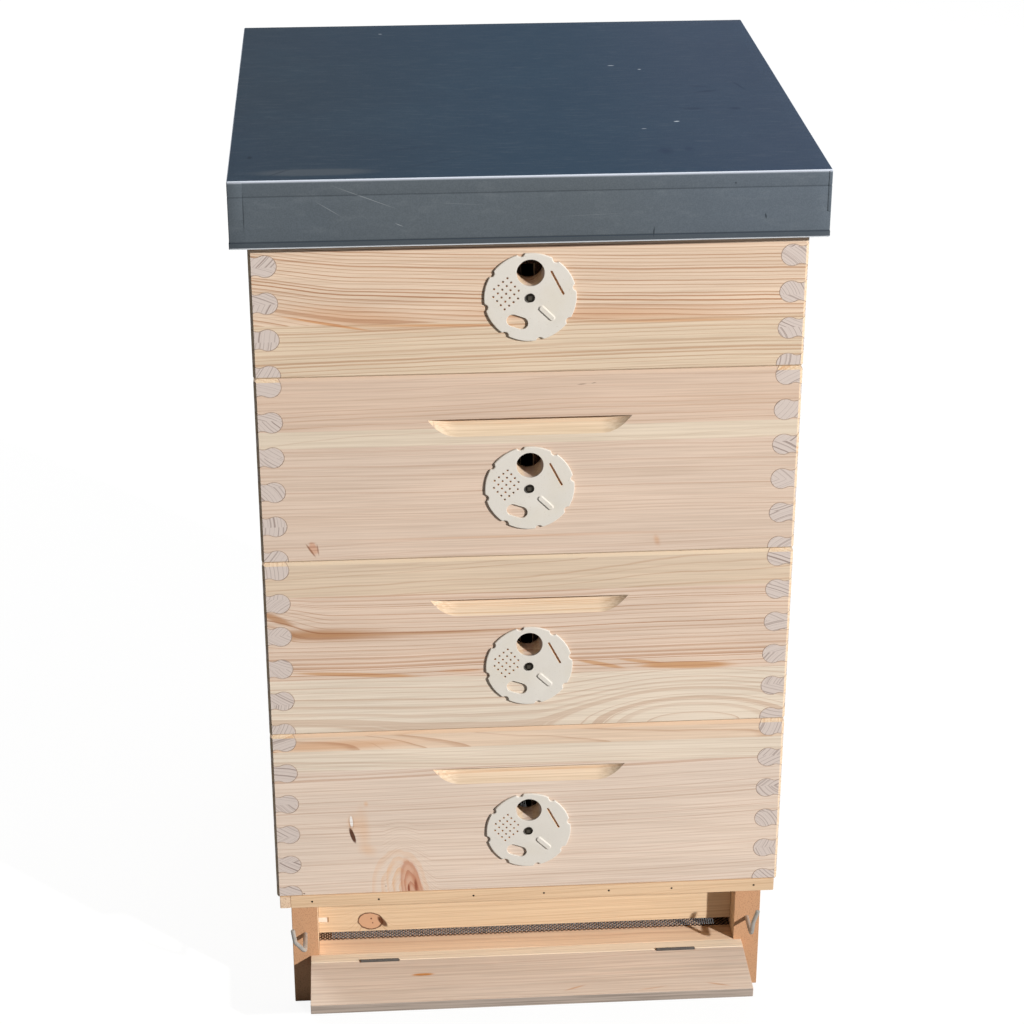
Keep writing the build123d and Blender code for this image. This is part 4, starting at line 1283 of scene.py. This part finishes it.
# Nicks, scuffs, a pale patch and dents on the lid's top, in metres; the dents are painted darker, as painted
# shade
TOP_MARKS = (
    Mark(-0.1810, -0.2125, 0.0640, 0.0125, 0, PALE_PATCH, 0.50, 0.5),
    Mark(0.1018, 0.1128, 0.0040, 0.0018, 0, BARE_NICK, 0.60, 0.6),
    Mark(0.1277, 0.0970, 0.0022, 0.0024, 0, BARE_NICK, 0.50, 0.6),
    Mark(0.1408, -0.0819, 0.0034, 0.0018, 8, BRIGHT_NICK, 0.75, 0.6),
    Mark(0.1092, -0.1027, 0.0030, 0.0012, 0, BARE_NICK, 0.55, 0.6),
    Mark(-0.1169, 0.2489, 0.0024, 0.0018, 0, BARE_NICK, 0.50, 0.6),
    Mark(-0.2364, -0.1670, 0.0030, 0.0060, 0, DARK_SPOT, 0.70, 0.8),
    # Painted shade: the dents are only darker colour on the flat top.
    Mark(0.1204, -0.1705, 0.0100, 0.0140, 0, SOFT_DENT_SHADE, 0.55, 0.9),
    Mark(0.1408, -0.1662, 0.0065, 0.0090, 0, SOFT_DENT_SHADE, 0.45, 0.9),
    Mark(0.1608, -0.0416, 0.0150, 0.0052, 0, DENT_SHADE, 0.50, 0.8),
    Mark(0.1991, -0.0430, 0.0085, 0.0052, 4, DENT_SHADE, 0.55, 0.8),
    Mark(0.1809, 0.0151, 0.0170, 0.0040, 16, DENT_SHADE, 0.50, 0.8),
    Mark(0.1760, 0.0330, 0.0130, 0.0032, -12, FAINT_DENT_SHADE, 0.40, 0.8),
    Mark(0.2140, 0.0329, 0.0016, 0.0230, 14, DENT_SHADE, 0.50, 0.8),
    Mark(-0.1036, -0.1504, 0.0360, 0.0016, 20, SCUFF, 0.45, 0.8),
    Mark(-0.0783, -0.1890, 0.0580, 0.0016, 31, SCUFF, 0.40, 0.8),
    Mark(-0.2105, -0.2116, 0.0190, 0.0016, 45, CORNER_SCUFF, 0.55, 0.8),
)


def with_lid_marks(nodes, surface, place, upward, frontward):
    """Return the lid's surface with the scratches and nicks of its skirt and the marks of its top."""
    for scratches, tone in ((SKIRT_SCRATCHES, lid_looks().dust), (SKIRT_NICKS, DARK_NICK)):
        for scratch in scratches:
            body = spot_parts(nodes, place, scratch, False)["Body"]
            surface = nodes.stain(surface, nodes.math("MULTIPLY", body, frontward), scratch.strength, tone)
    for mark in TOP_MARKS:
        body = spot_parts(nodes, place, mark, True)["Body"]
        surface = nodes.stain(surface, nodes.math("MULTIPLY", body, upward), mark.strength, mark.colour)
    return surface


def with_lid_edges(nodes, surface, level, upright, top, bottom):
    """Return the lid's surface with painted shade in its pressed lines and hem band and painted highlights
    along its folded edges.
    """
    looks = lid_looks()
    # Painted shade: a darker line along the crease and along the top of the hem.
    for drop, strength in ((looks.crease, 0.42), (top - bottom - looks.hem, 0.5)):
        off = nodes.math("ABSOLUTE", nodes.math("SUBTRACT", level, top - drop))
        surface = nodes.stain(surface, nodes.remap(off, 0.9 * MM, 0.2 * MM), strength, PRESSED_LINE_SHADE)
    # Painted shade: the hem band above the bottom edge is painted darker.
    hem_shade = nodes.remap(level, bottom + 7.5 * MM, bottom + 5.5 * MM)
    surface = nodes.stain(surface, hem_shade, 0.55, HEM_SHADE)
    # Painted highlight: a bright line along the folded top edge.
    edge = nodes.remap(level, top - 3.0 * MM, top - 0.6 * MM)
    folded = nodes.math("MULTIPLY", edge, nodes.remap(upright, 0.97, 0.75))
    surface = nodes.stain(surface, folded, 0.85, FOLD_HIGHLIGHT)
    # Painted highlight: a bright line along the hem's bottom edge.
    rim = nodes.remap(level, bottom + 1.6 * MM, bottom + 0.8 * MM)
    return nodes.stain(surface, rim, 0.9, HEM_HIGHLIGHT)


def lid_paint(top, bottom):
    """Return the blue-grey coating of the lid: smudged top, a greyer skirt as painted reflection, painted
    light towards the right, nicks and scratches.
    """
    looks = lid_looks()
    material, nodes, shader, coordinates = new_material("Lid coating")
    place = coordinates["Object"]
    facing = nodes.parts(coordinates["Normal"])
    upward = nodes.remap(facing[2], 0.2, 0.9)
    frontward = nodes.remap(facing[1], -0.6, -0.95)
    handling = handling_marks(nodes, place, 7.0)
    fine = handling_marks(nodes, place, 40.0)
    along, _, level = nodes.parts(place)
    # Painted light: the top is darker at the left and lighter at the right, and the skirt lighter towards the
    # right.
    top_tone = nodes.mix(nodes.remap(along, -0.26, 0.05), TOP_LEFT_SHADED, looks.paint)
    top_tone = nodes.mix(nodes.remap(along, 0.02, 0.24), top_tone, TOP_RIGHT_LIT)
    skirt_tone = nodes.mix(nodes.remap(along, 0.02, 0.22), looks.skirt_tone_with_reflection, SKIRT_RIGHT_LIT)
    # Painted reflection: the faces that turn from up to sideways take the skirt's greyer colour.
    surface = nodes.mix(upward, skirt_tone, top_tone)
    cloud = nodes.noise(place, 3.2, 3.0)
    surface = nodes.mix(nodes.remap(cloud, 0.35, 0.7, 0.0, 0.25), surface, CLOUDED)
    surface = nodes.stain(surface, handling["Smudge"], 0.12, SMUDGED)
    surface = nodes.stain(surface, fine["Streak"], 0.08, looks.dust)
    surface = nodes.stain(surface, fine["Speck"], 0.16, looks.dust)
    grains = nodes.remap(nodes.noise(place, 900.0, 2.0), 0.35, 0.65)
    surface = nodes.shade(surface, nodes.mix(grains, (0.93, 0.93, 0.93), (1.07, 1.07, 1.07)))
    surface = with_lid_marks(nodes, surface, place, upward, frontward)
    surface = with_lid_edges(nodes, surface, level, facing[2], top, bottom)
    nodes.fill(shader["Base Color"], surface)
    nodes.fill(shader["Roughness"], nodes.remap(handling["Smudge"], 0.0, 1.0, 0.42, 0.60))
    shader["Specular IOR Level"].default_value = 0.06
    relief = nodes.math("MULTIPLY_ADD", fine["Streak"], 0.3, nodes.noise(place, 700.0, 2.0))
    add_bump(nodes, shader, relief, 0.03 * MM, 0.5)
    return material


class HIVE_OT_lid_sheet(bpy.types.Operator):
    """Model the folded sheet-metal cap of the lid"""

    bl_idname = "hive.lid_sheet"
    bl_label = "Lid sheet"

    def skirt_profile(self, looks, height):
        """Return the fold, crease, skirt and hem as steps out and down from the top's edge."""
        fold = looks.fold
        steps = []
        for degrees in (22.5, 45.0, 67.5, 90.0):
            angle = math.radians(degrees)
            steps.append((fold * math.sin(angle), fold * (1 - math.cos(angle))))
        groove = 0.8 * MM
        shallow = 0.22 * MM
        hem_top = height - looks.hem
        steps += [
            (fold, looks.crease - groove), (fold - shallow, looks.crease), (fold, looks.crease + groove),
            (fold, 0.45 * height), (fold, 0.65 * height), (fold, hem_top - groove), (fold - shallow, hem_top),
            (fold + looks.inset, hem_top + 0.6 * MM), (fold + looks.inset, height - 0.9 * MM),
            (fold + 0.6 * looks.inset, height - 0.25 * MM), (fold - 0.3 * MM, height),
            (fold + looks.inset - looks.hem_return, height),
        ]
        return steps

    def model_cap(self, low, high, looks):
        """Return the cap as one sheet: a grid whose edge is drawn down step by step."""
        half_x = (high.x - low.x) / 2 - looks.inset - looks.fold
        half_y = (high.y - low.y) / 2 - looks.inset - looks.fold
        middle_y = (high.y + low.y) / 2
        fields = 32
        deselect_all()
        bpy.ops.mesh.primitive_grid_add(
            x_subdivisions=fields, y_subdivisions=fields, size=2, location=(0, middle_y, high.z)
        )
        cap = stretch_new("lid_sheet_dressed", (half_x, half_y, 1))
        edit(cap, "EDGE")
        near = 0.1 * MM
        pick_edges(
            cap,
            lambda a, b: min(abs(a.x), abs(b.x)) > half_x - near
            or min(abs(a.y - middle_y), abs(b.y - middle_y)) > half_y - near,
        )
        out, drop = 0.0, 0.0
        for new_out, new_drop in self.skirt_profile(looks, high.z - low.z):
            bpy.ops.mesh.extrude_region_move(TRANSFORM_OT_translate={"value": (0, 0, drop - new_drop)})
            scale = ((half_x + new_out) / (half_x + out), (half_y + new_out) / (half_y + out), 1)
            bpy.ops.transform.resize(value=scale, center_override=(0, middle_y, 0))
            out, drop = new_out, new_drop
        self.round_corners(cap, high, half_x, half_y, middle_y)
        bpy.ops.mesh.select_all(action="SELECT")
        bpy.ops.mesh.normals_make_consistent(inside=False)
        end_edit()
        return cap

    def round_corners(self, cap, high, half_x, half_y, middle_y):
        """Round the four upright corners."""
        room = 2.5 * MM
        radius = 1.0 * MM

        def corner(place):
            off_x = abs(abs(place.x) - half_x)
            off_y = abs(abs(place.y - middle_y) - half_y)
            return off_x < room and off_y < room and place.z < high.z - 0.1 * MM

        bpy.ops.mesh.select_all(action="DESELECT")
        pick_edges(cap, lambda a, b: corner(a) and corner(b) and abs(a.z - b.z) > 0.05 * MM)
        bpy.ops.mesh.bevel(offset=radius, segments=3, affect="EDGES")

    def model_lap(self, name, x_low, x_high, y_outer, y_inner, top, height):
        """Return one corner lap: a thin plate whose lower end is cut on the slant."""
        deselect_all()
        bpy.ops.mesh.primitive_cube_add(
            size=1, location=((x_low + x_high) / 2, (y_outer + y_inner) / 2, top - height / 2)
        )
        lap = stretch_new(name, (x_high - x_low, abs(y_inner - y_outer), height))
        edit(lap)
        inner = x_high if x_high < 0 else x_low
        near = 0.05 * MM
        slant = 0.35
        eased = 0.18 * MM
        pick_vertices(lap, lambda place: abs(place.x - inner) < near and place.z < top - height + near)
        bpy.ops.transform.translate(value=(0, 0, slant * (x_high - x_low)))
        end_edit()
        apply_modifier(lap, "Eased edges", "BEVEL", width=eased, segments=2, limit_method="ANGLE")
        return lap

    def execute(self, context):
        looks = lid_looks()
        low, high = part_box("lid_sheet")
        cap = self.model_cap(low, high, looks)
        dents = bpy.data.textures.new("Lid dents", "CLOUDS")
        dents.noise_scale = 0.16
        apply_modifier(
            cap, "Dents", "DISPLACE", texture=dents, strength=looks.wave, mid_level=1.0,
            texture_coords="LOCAL"
        )
        apply_modifier(cap, "Sheet", "SOLIDIFY", thickness=looks.sheet, offset=-1)
        laps = []
        top = high.z - looks.fold
        edge = 0.9 * MM
        depth = 1.4 * MM
        widths = (looks.left_lap, looks.right_lap)
        for end, outer, inner in (("front", low.y, low.y + depth), ("back", high.y, high.y - depth)):
            left, right = widths if end == "front" else widths[::-1]
            spans = (("left", low.x + edge, low.x + left), ("right", high.x - right, high.x - edge))
            for side, x_low, x_high in spans:
                name = f"{end}_{side}_lap"
                laps.append(self.model_lap(name, x_low, x_high, outer, inner, top, looks.lap_height))
        select_only(cap, *laps)
        bpy.ops.object.join()
        smooth(cap, 30)
        dress(cap, lid_paint(high.z, low.z), "lid", "lid_paint", "lid_sheet")
        return {"FINISHED"}


# Floor and landing flap

FloorBoard = namedtuple(
    "FloorBoard", "node tint lines along flat worn body", defaults=("X", False, 0.0, "floor")
)
WARM = colour(228, 200, 167)
WARM_PALE = colour(242, 221, 192)
PLANK_TINT = colour(240, 211, 182)
GREYED = colour(228, 210, 194)
TAN_END = colour(202, 156, 120)
GREY_EDGE = colour(176, 161, 150)
RAIL_TINT = colour(221, 191, 158)
STRIP_TINT = colour(245, 229, 206)
FRONT_TINT = colour(219, 194, 163)
PALE_END = colour(226, 198, 170)

FLOOR_BOARDS = (
    FloorBoard("floor_left_side", WARM, 0.5, "Y"),
    FloorBoard("floor_right_side", WARM, 0.5, "Y"),
    FloorBoard("floor_back_board", WARM_PALE, 0.5),
    FloorBoard("floor_front_board", FRONT_TINT, 0.42),
    FloorBoard("floor_lintel", WARM, 0.4),
    FloorBoard("landing_plank", PLANK_TINT, 0.4, flat=True, worn=0.1),
    FloorBoard("front_rail", RAIL_TINT, 0.4),
    FloorBoard("back_rail", RAIL_TINT, 0.4),
    FloorBoard("left_batten", RAIL_TINT, 0.4, "Y"),
    FloorBoard("right_batten", RAIL_TINT, 0.4, "Y"),
    FloorBoard("hinge_strip", STRIP_TINT, 0.25, flat=True),
    FloorBoard("mesh_ledges", WARM, 0.4, "Y"),
    FloorBoard("flap_board", GREYED, 0.27, flat=True, worn=0.25, body="flap"),
)
# Edges shorter than this stay sharp
SHORT_EDGE = 1.5 * MM


class HIVE_OT_floor_boards(bpy.types.Operator):
    """Finish the boards of the floor and the landing flap"""

    bl_idname = "hive.floor_boards"
    bl_label = "Floor boards and flap"

    def brighten_mortise(self, piece):
        """Give the floor of the front board's mortise its own pale wood."""
        front = min(vertex.co.y for vertex in piece.data.vertices)
        pale = plain_wood("Pale mortise", colour(236, 226, 214))
        paint_faces(
            piece, pale, lambda place, normal: normal.y < -0.9 and 0.8 * MM < place.y - front < 3.0 * MM
        )

    def execute(self, context):
        marks = {"flap_board": FLAP_MARKS}
        knots = {"floor_front_board": FLOOR_KNOTS}
        cracks = {"floor_front_board": FLOOR_MARKS}
        ends = {"left_batten": PALE_END, "right_batten": PALE_END}
        for index, board in enumerate(FLOOR_BOARDS):
            pick = random.Random(FLOOR_SEED + index)
            pith_across = pick.choice((-1, 1)) * pick.uniform(0.04, 0.10)
            pith_behind = pick.uniform(0.03, 0.07)
            taper = pick.uniform(0.0, 0.03)
            stave = Stave(0.0, board.tint, board.lines, 0.5, pith_across, pith_behind, taper)
            label = f"Pine, {board.node.replace('_', ' ')}"
            material = pine(
                label, board.node, (stave,), FLOOR_SEED + index, board.along, board.flat,
                marks=marks.get(board.node, ()), knots=knots.get(board.node, ()),
                cracks=cracks.get(board.node, ()), worn=board.worn, end_tint=ends.get(board.node, TAN_END),
                front_tint=GREY_EDGE if board.node == "flap_board" else None
            )
            piece = eased_copy(
                board.node, wood().floor_edge,
                share=lambda first, second: 1.0 if (second - first).length > SHORT_EDGE else 0.0
            )
            dress(piece, material, board.body, "floor_pine", board.node)
            if board.node == "floor_front_board":
                self.brighten_mortise(piece)
        return {"FINISHED"}


def woven_wire(looks):
    """Return the floor's browned wire, with painted light where the weave rises and painted shade where it
    dips.
    """
    material, nodes, shader, coordinates = new_material("Browned wire")
    place = coordinates["Object"]
    wave = math.pi / looks.wire_pitch
    waves = [nodes.math("SINE", nodes.math("MULTIPLY", part, wave)) for part in nodes.parts(place)[:2]]
    weave = nodes.math("MULTIPLY", *waves)
    # Noise that breaks up the painted light and shade of the weave.
    worn = nodes.math("MULTIPLY", nodes.math("SUBTRACT", nodes.noise(place, 260.0, 2.0), 0.5), 1.6)
    raised = nodes.remap(nodes.math("ADD", weave, worn), -0.35, 0.45)
    nodes.fill(shader["Base Color"], nodes.mix(raised, looks.wire, looks.lit_wire_crest))
    nodes.fill(shader["Roughness"], nodes.remap(raised, 0.0, 1.0, 0.8, 0.6))
    shader["Specular IOR Level"].default_value = 0.1
    return material


# Room over the mesh's border and at the wires' ends, and the form of one wire
BORDER_ROOM = 0.2 * MM
WIRE_END_ROOM = 1 * MM
WIRE_SIDES = 6
WIRE_STAGGER = 0.9
WIRE_TIP = 0.15 * MM


class HIVE_OT_floor_mesh(bpy.types.Operator):
    """Model the wire mesh of the floor with its flat border"""

    bl_idname = "hive.floor_mesh"
    bl_label = "Floor mesh"

    def model_border(self, low, high, looks):
        """Return the flat border as a plate with its middle cut out."""
        deselect_all()
        middle = (low + high) / 2
        bpy.ops.mesh.primitive_plane_add(size=1, location=middle)
        border = stretch_new("floor_mesh_dressed", (high.x - low.x, high.y - low.y, 1))
        edit(border, "FACE")
        bpy.ops.mesh.select_all(action="SELECT")
        bpy.ops.mesh.inset(thickness=looks.mesh_border)
        bpy.ops.mesh.delete(type="FACE")
        end_edit()
        apply_modifier(border, "Plate", "SOLIDIFY", thickness=(high.z - low.z) - BORDER_ROOM, offset=0)
        return border

    def model_wires(self, low, high, along, looks):
        """Return a row of six-sided wires along X or Y, with the ends drawn in."""
        across = 1 - along
        length = high[along] - low[along] - 2 * WIRE_END_ROOM
        middle = (low + high) / 2
        start = middle.copy()
        start[across] = low[across] + looks.mesh_border
        start.z += looks.wire_radius * (WIRE_STAGGER if along else -WIRE_STAGGER)
        turn = (math.radians(90), 0, 0) if along else (0, math.radians(90), 0)
        deselect_all()
        bpy.ops.mesh.primitive_cylinder_add(
            vertices=WIRE_SIDES, radius=looks.wire_radius, depth=length, location=start, rotation=turn
        )
        wire = bpy.context.object
        settle()
        edit(wire, "FACE")
        pick_faces(wire, lambda place, normal: abs(normal[along]) > 0.9)
        bpy.ops.mesh.bevel(offset=WIRE_TIP, segments=1, affect="EDGES")
        end_edit()
        room = high[across] - low[across] - 2 * looks.mesh_border
        offset = [0.0, 0.0, 0.0]
        offset[across] = looks.wire_pitch
        apply_modifier(
            wire, "Row of wires", "ARRAY", count=int(room / looks.wire_pitch) + 1, use_relative_offset=False,
            use_constant_offset=True, constant_offset_displace=offset
        )
        return wire

    def execute(self, context):
        looks = fittings()
        low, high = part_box("floor_mesh")
        border = self.model_border(low, high, looks)
        rows = [self.model_wires(low, high, along, looks) for along in (0, 1)]
        select_only(border, *rows)
        bpy.ops.object.join()
        smooth(border, 50)
        dress(border, woven_wire(looks), "floor", "mesh_steel", "floor_mesh")
        return {"FINISHED"}


class HIVE_OT_flap_hinges(bpy.types.Operator):
    """Finish the flap's butt hinges, pins and screws"""

    bl_idname = "hive.flap_hinges"
    bl_label = "Flap hinges"

    def execute(self, context):
        # Painted shade: the hinges take the zinc at a third of its brightness, so that they read as a dark
        # slot.
        zinc = steel("Shaded hinge zinc", darker(fittings().zinc, 0.34), 0.36, 0.2, 0.5)
        for node, body in (("strip_hinge_leaves", "floor"), ("flap_hinge_leaves", "flap")):
            piece = eased_copy(node, fittings().steel_edge)
            dress(piece, zinc, body, "zinc_steel", node)
        for node in ("hinge_pins", "strip_hinge_screws", "flap_hinge_screws"):
            finish_node(node, zinc)
        return {"FINISHED"}


class HIVE_OT_flap_hooks(bpy.types.Operator):
    """Finish the two turning hooks and the rail's nails"""

    bl_idname = "hive.flap_hooks"
    bl_label = "Hooks and nails"

    def execute(self, context):
        bright = steel("Hook zinc", fittings().zinc, 0.30, 0.1, 0.45)
        for side in ("left", "right"):
            node = f"{side}_hook"
            piece = eased_copy(node, fittings().hook_tip, segments=3, degrees=60)
            dress(piece, bright, node, "zinc_steel", node)
        finish_node("rail_nails", steel("Nail steel", fittings().dark_steel, 0.5, 0.6))
        return {"FINISHED"}


# Stage

WHITE = (1.0, 1.0, 1.0)
LAMP_TARGET = (0, -0.1, 0.42)
KEY_PLACE = (6.0, -5.9, 3.95)
TOP_PLACE = (0.0, 0.8, 4.5)
BACK_PLACE = (-3.6, 5.2, 2.2)
KEY_SIZE = 0.3
SOFT_SIZE = 2.5
# How much of the floor's glow and of the pale background the camera and shiny surfaces see
SEEN_GLOW = 0.55
SEEN_WORLD = 0.92
GLOSSY_WORLD = 0.25
SENSOR_WIDTH = 36.0


class HIVE_OT_stage(bpy.types.Operator):
    """Set the pale floor, the soft lamps and the camera"""

    bl_idname = "hive.stage"
    bl_label = "Stage"

    def make_floor(self, looks):
        """Lay the pale floor, which the camera sees brighter than the light makes it."""
        deselect_all()
        bpy.ops.mesh.primitive_plane_add(size=2, location=(0, 0, 0))
        floor = stretch_new("studio_floor", (looks.floor_half, looks.floor_half, 1))
        material = bpy.data.materials.new("Pale floor")
        material.use_nodes = True
        material.node_tree.nodes.clear()
        nodes = Nodes(material.node_tree)
        paper = nodes.add("BsdfDiffuse", {"Color": looks.paper})
        glow = nodes.add("Emission", {"Color": WHITE, "Strength": looks.glow})
        seen = nodes.math("MULTIPLY", nodes.add("LightPath").outputs["Is Camera Ray"], SEEN_GLOW)
        blend = nodes.add("MixShader", {0: seen, 1: paper.outputs[0], 2: glow.outputs[0]})
        nodes.add("OutputMaterial", {"Surface": blend.outputs[0]})
        floor.data.materials.append(material)

    def make_world(self, looks):
        """Set the even light, and the pale background that the camera sees."""
        world = bpy.data.worlds.new("Studio")
        bpy.context.scene.world = world
        world.use_nodes = True
        world.node_tree.nodes.clear()
        nodes = Nodes(world.node_tree)
        even = nodes.add("Background", {"Color": WHITE, "Strength": looks.sky})
        pale = nodes.add("Background", {"Color": WHITE, "Strength": SEEN_WORLD})
        rays = nodes.add("LightPath").outputs
        seen = nodes.math("MAXIMUM", rays["Is Camera Ray"], rays["Is Transmission Ray"])
        seen = nodes.math("MAXIMUM", seen, nodes.math("MULTIPLY", rays["Is Glossy Ray"], GLOSSY_WORLD))
        blend = nodes.add("MixShader", {0: seen, 1: even.outputs[0], 2: pale.outputs[0]})
        nodes.add("OutputWorld", {"Surface": blend.outputs[0]})

    def add_lamp(self, name, place, target, size, power, tone):
        """Add a round lamp that looks at a target."""
        deselect_all()
        bpy.ops.object.light_add(type="AREA", location=place)
        lamp = bpy.context.object
        lamp.name = name
        lamp.rotation_euler = (Vector(target) - Vector(place)).to_track_quat("-Z", "Y").to_euler()
        lamp.data.shape = "DISK"
        lamp.data.size = size
        lamp.data.energy = power
        lamp.data.color = tone
        lamp.visible_glossy = False

    def add_camera(self, looks):
        """Add the camera at the photo's view."""
        deselect_all()
        bpy.ops.object.camera_add()
        camera = bpy.context.object
        camera.name = "photo_camera"
        flat = math.cos(looks.elevation)
        back = Vector(
            (math.sin(looks.azimuth) * flat, -math.cos(looks.azimuth) * flat, math.sin(looks.elevation))
        )
        right = Vector((0, 0, 1)).cross(back).normalized()
        axes = Matrix((right, back.cross(right), back)).transposed()
        camera.matrix_world = Matrix.Translation(looks.camera_place) @ axes.to_4x4()
        camera.data.sensor_width = SENSOR_WIDTH
        camera.data.lens = looks.lens
        bpy.context.scene.camera = camera

    def execute(self, context):
        looks = context.scene.hive_stage
        context.scene.view_settings.view_transform = "Standard"
        self.make_floor(looks)
        self.make_world(looks)
        self.add_lamp("key_lamp", KEY_PLACE, LAMP_TARGET, KEY_SIZE, looks.key_power, (1.0, 0.992, 0.975))
        self.add_lamp("top_lamp", TOP_PLACE, (0, 0, 0), SOFT_SIZE, looks.top_power, (0.97, 0.985, 1.0))
        self.add_lamp("back_lamp", BACK_PLACE, LAMP_TARGET, SOFT_SIZE, looks.back_power, (0.98, 0.99, 1.0))
        self.add_camera(looks)
        return {"FINISHED"}


class HIVE_PT_beehive(bpy.types.Panel):
    """Lists the hive's settings and the steps that build it"""

    bl_idname = "HIVE_PT_beehive"
    bl_label = "Beehive"
    bl_space_type = "VIEW_3D"
    bl_region_type = "UI"
    bl_category = "Beehive"

    def draw(self, context):
        for name, group in SETTINGS.items():
            column = self.layout.column(align=True)
            column.label(text=group.__doc__)
            for setting in group.__annotations__:
                column.prop(getattr(context.scene, name), setting)
        for step in STEPS:
            self.layout.operator(step.bl_idname)


SETTINGS = {
    "hive_wood": HiveWoodSettings,
    "hive_lid": HiveLidSettings,
    "hive_fittings": HiveFittingSettings,
    "hive_stage": HiveStageSettings,
}
STEPS = (
    HIVE_OT_box_boards,
    HIVE_OT_entrance_discs,
    HIVE_OT_disc_screws,
    HIVE_OT_hanging_frames,
    HIVE_OT_crown_board,
    HIVE_OT_lid_inside,
    HIVE_OT_lid_sheet,
    HIVE_OT_floor_boards,
    HIVE_OT_floor_mesh,
    HIVE_OT_flap_hinges,
    HIVE_OT_flap_hooks,
    HIVE_OT_stage,
)


def register():
    """Add the settings, steps and panel to Blender."""
    for name, group in SETTINGS.items():
        bpy.utils.register_class(group)
        setattr(bpy.types.Scene, name, PointerProperty(type=group))
    for step in STEPS:
        bpy.utils.register_class(step)
    bpy.utils.register_class(HIVE_PT_beehive)


def unregister():
    """Take the panel, steps and settings out of Blender."""
    bpy.utils.unregister_class(HIVE_PT_beehive)
    for step in reversed(STEPS):
        bpy.utils.unregister_class(step)
    for name, group in SETTINGS.items():
        delattr(bpy.types.Scene, name)
        bpy.utils.unregister_class(group)


def main():
    """Register the add-on, and build every piece and the stage."""
    register()
    bpy.ops.hive.box_boards()
    bpy.ops.hive.entrance_discs()
    bpy.ops.hive.disc_screws()
    bpy.ops.hive.hanging_frames()
    bpy.ops.hive.crown_board()
    bpy.ops.hive.lid_inside()
    bpy.ops.hive.lid_sheet()
    bpy.ops.hive.floor_boards()
    bpy.ops.hive.floor_mesh()
    bpy.ops.hive.flap_hinges()
    bpy.ops.hive.flap_hooks()
    bpy.ops.hive.stage()


if __name__ == "__main__":
    main()
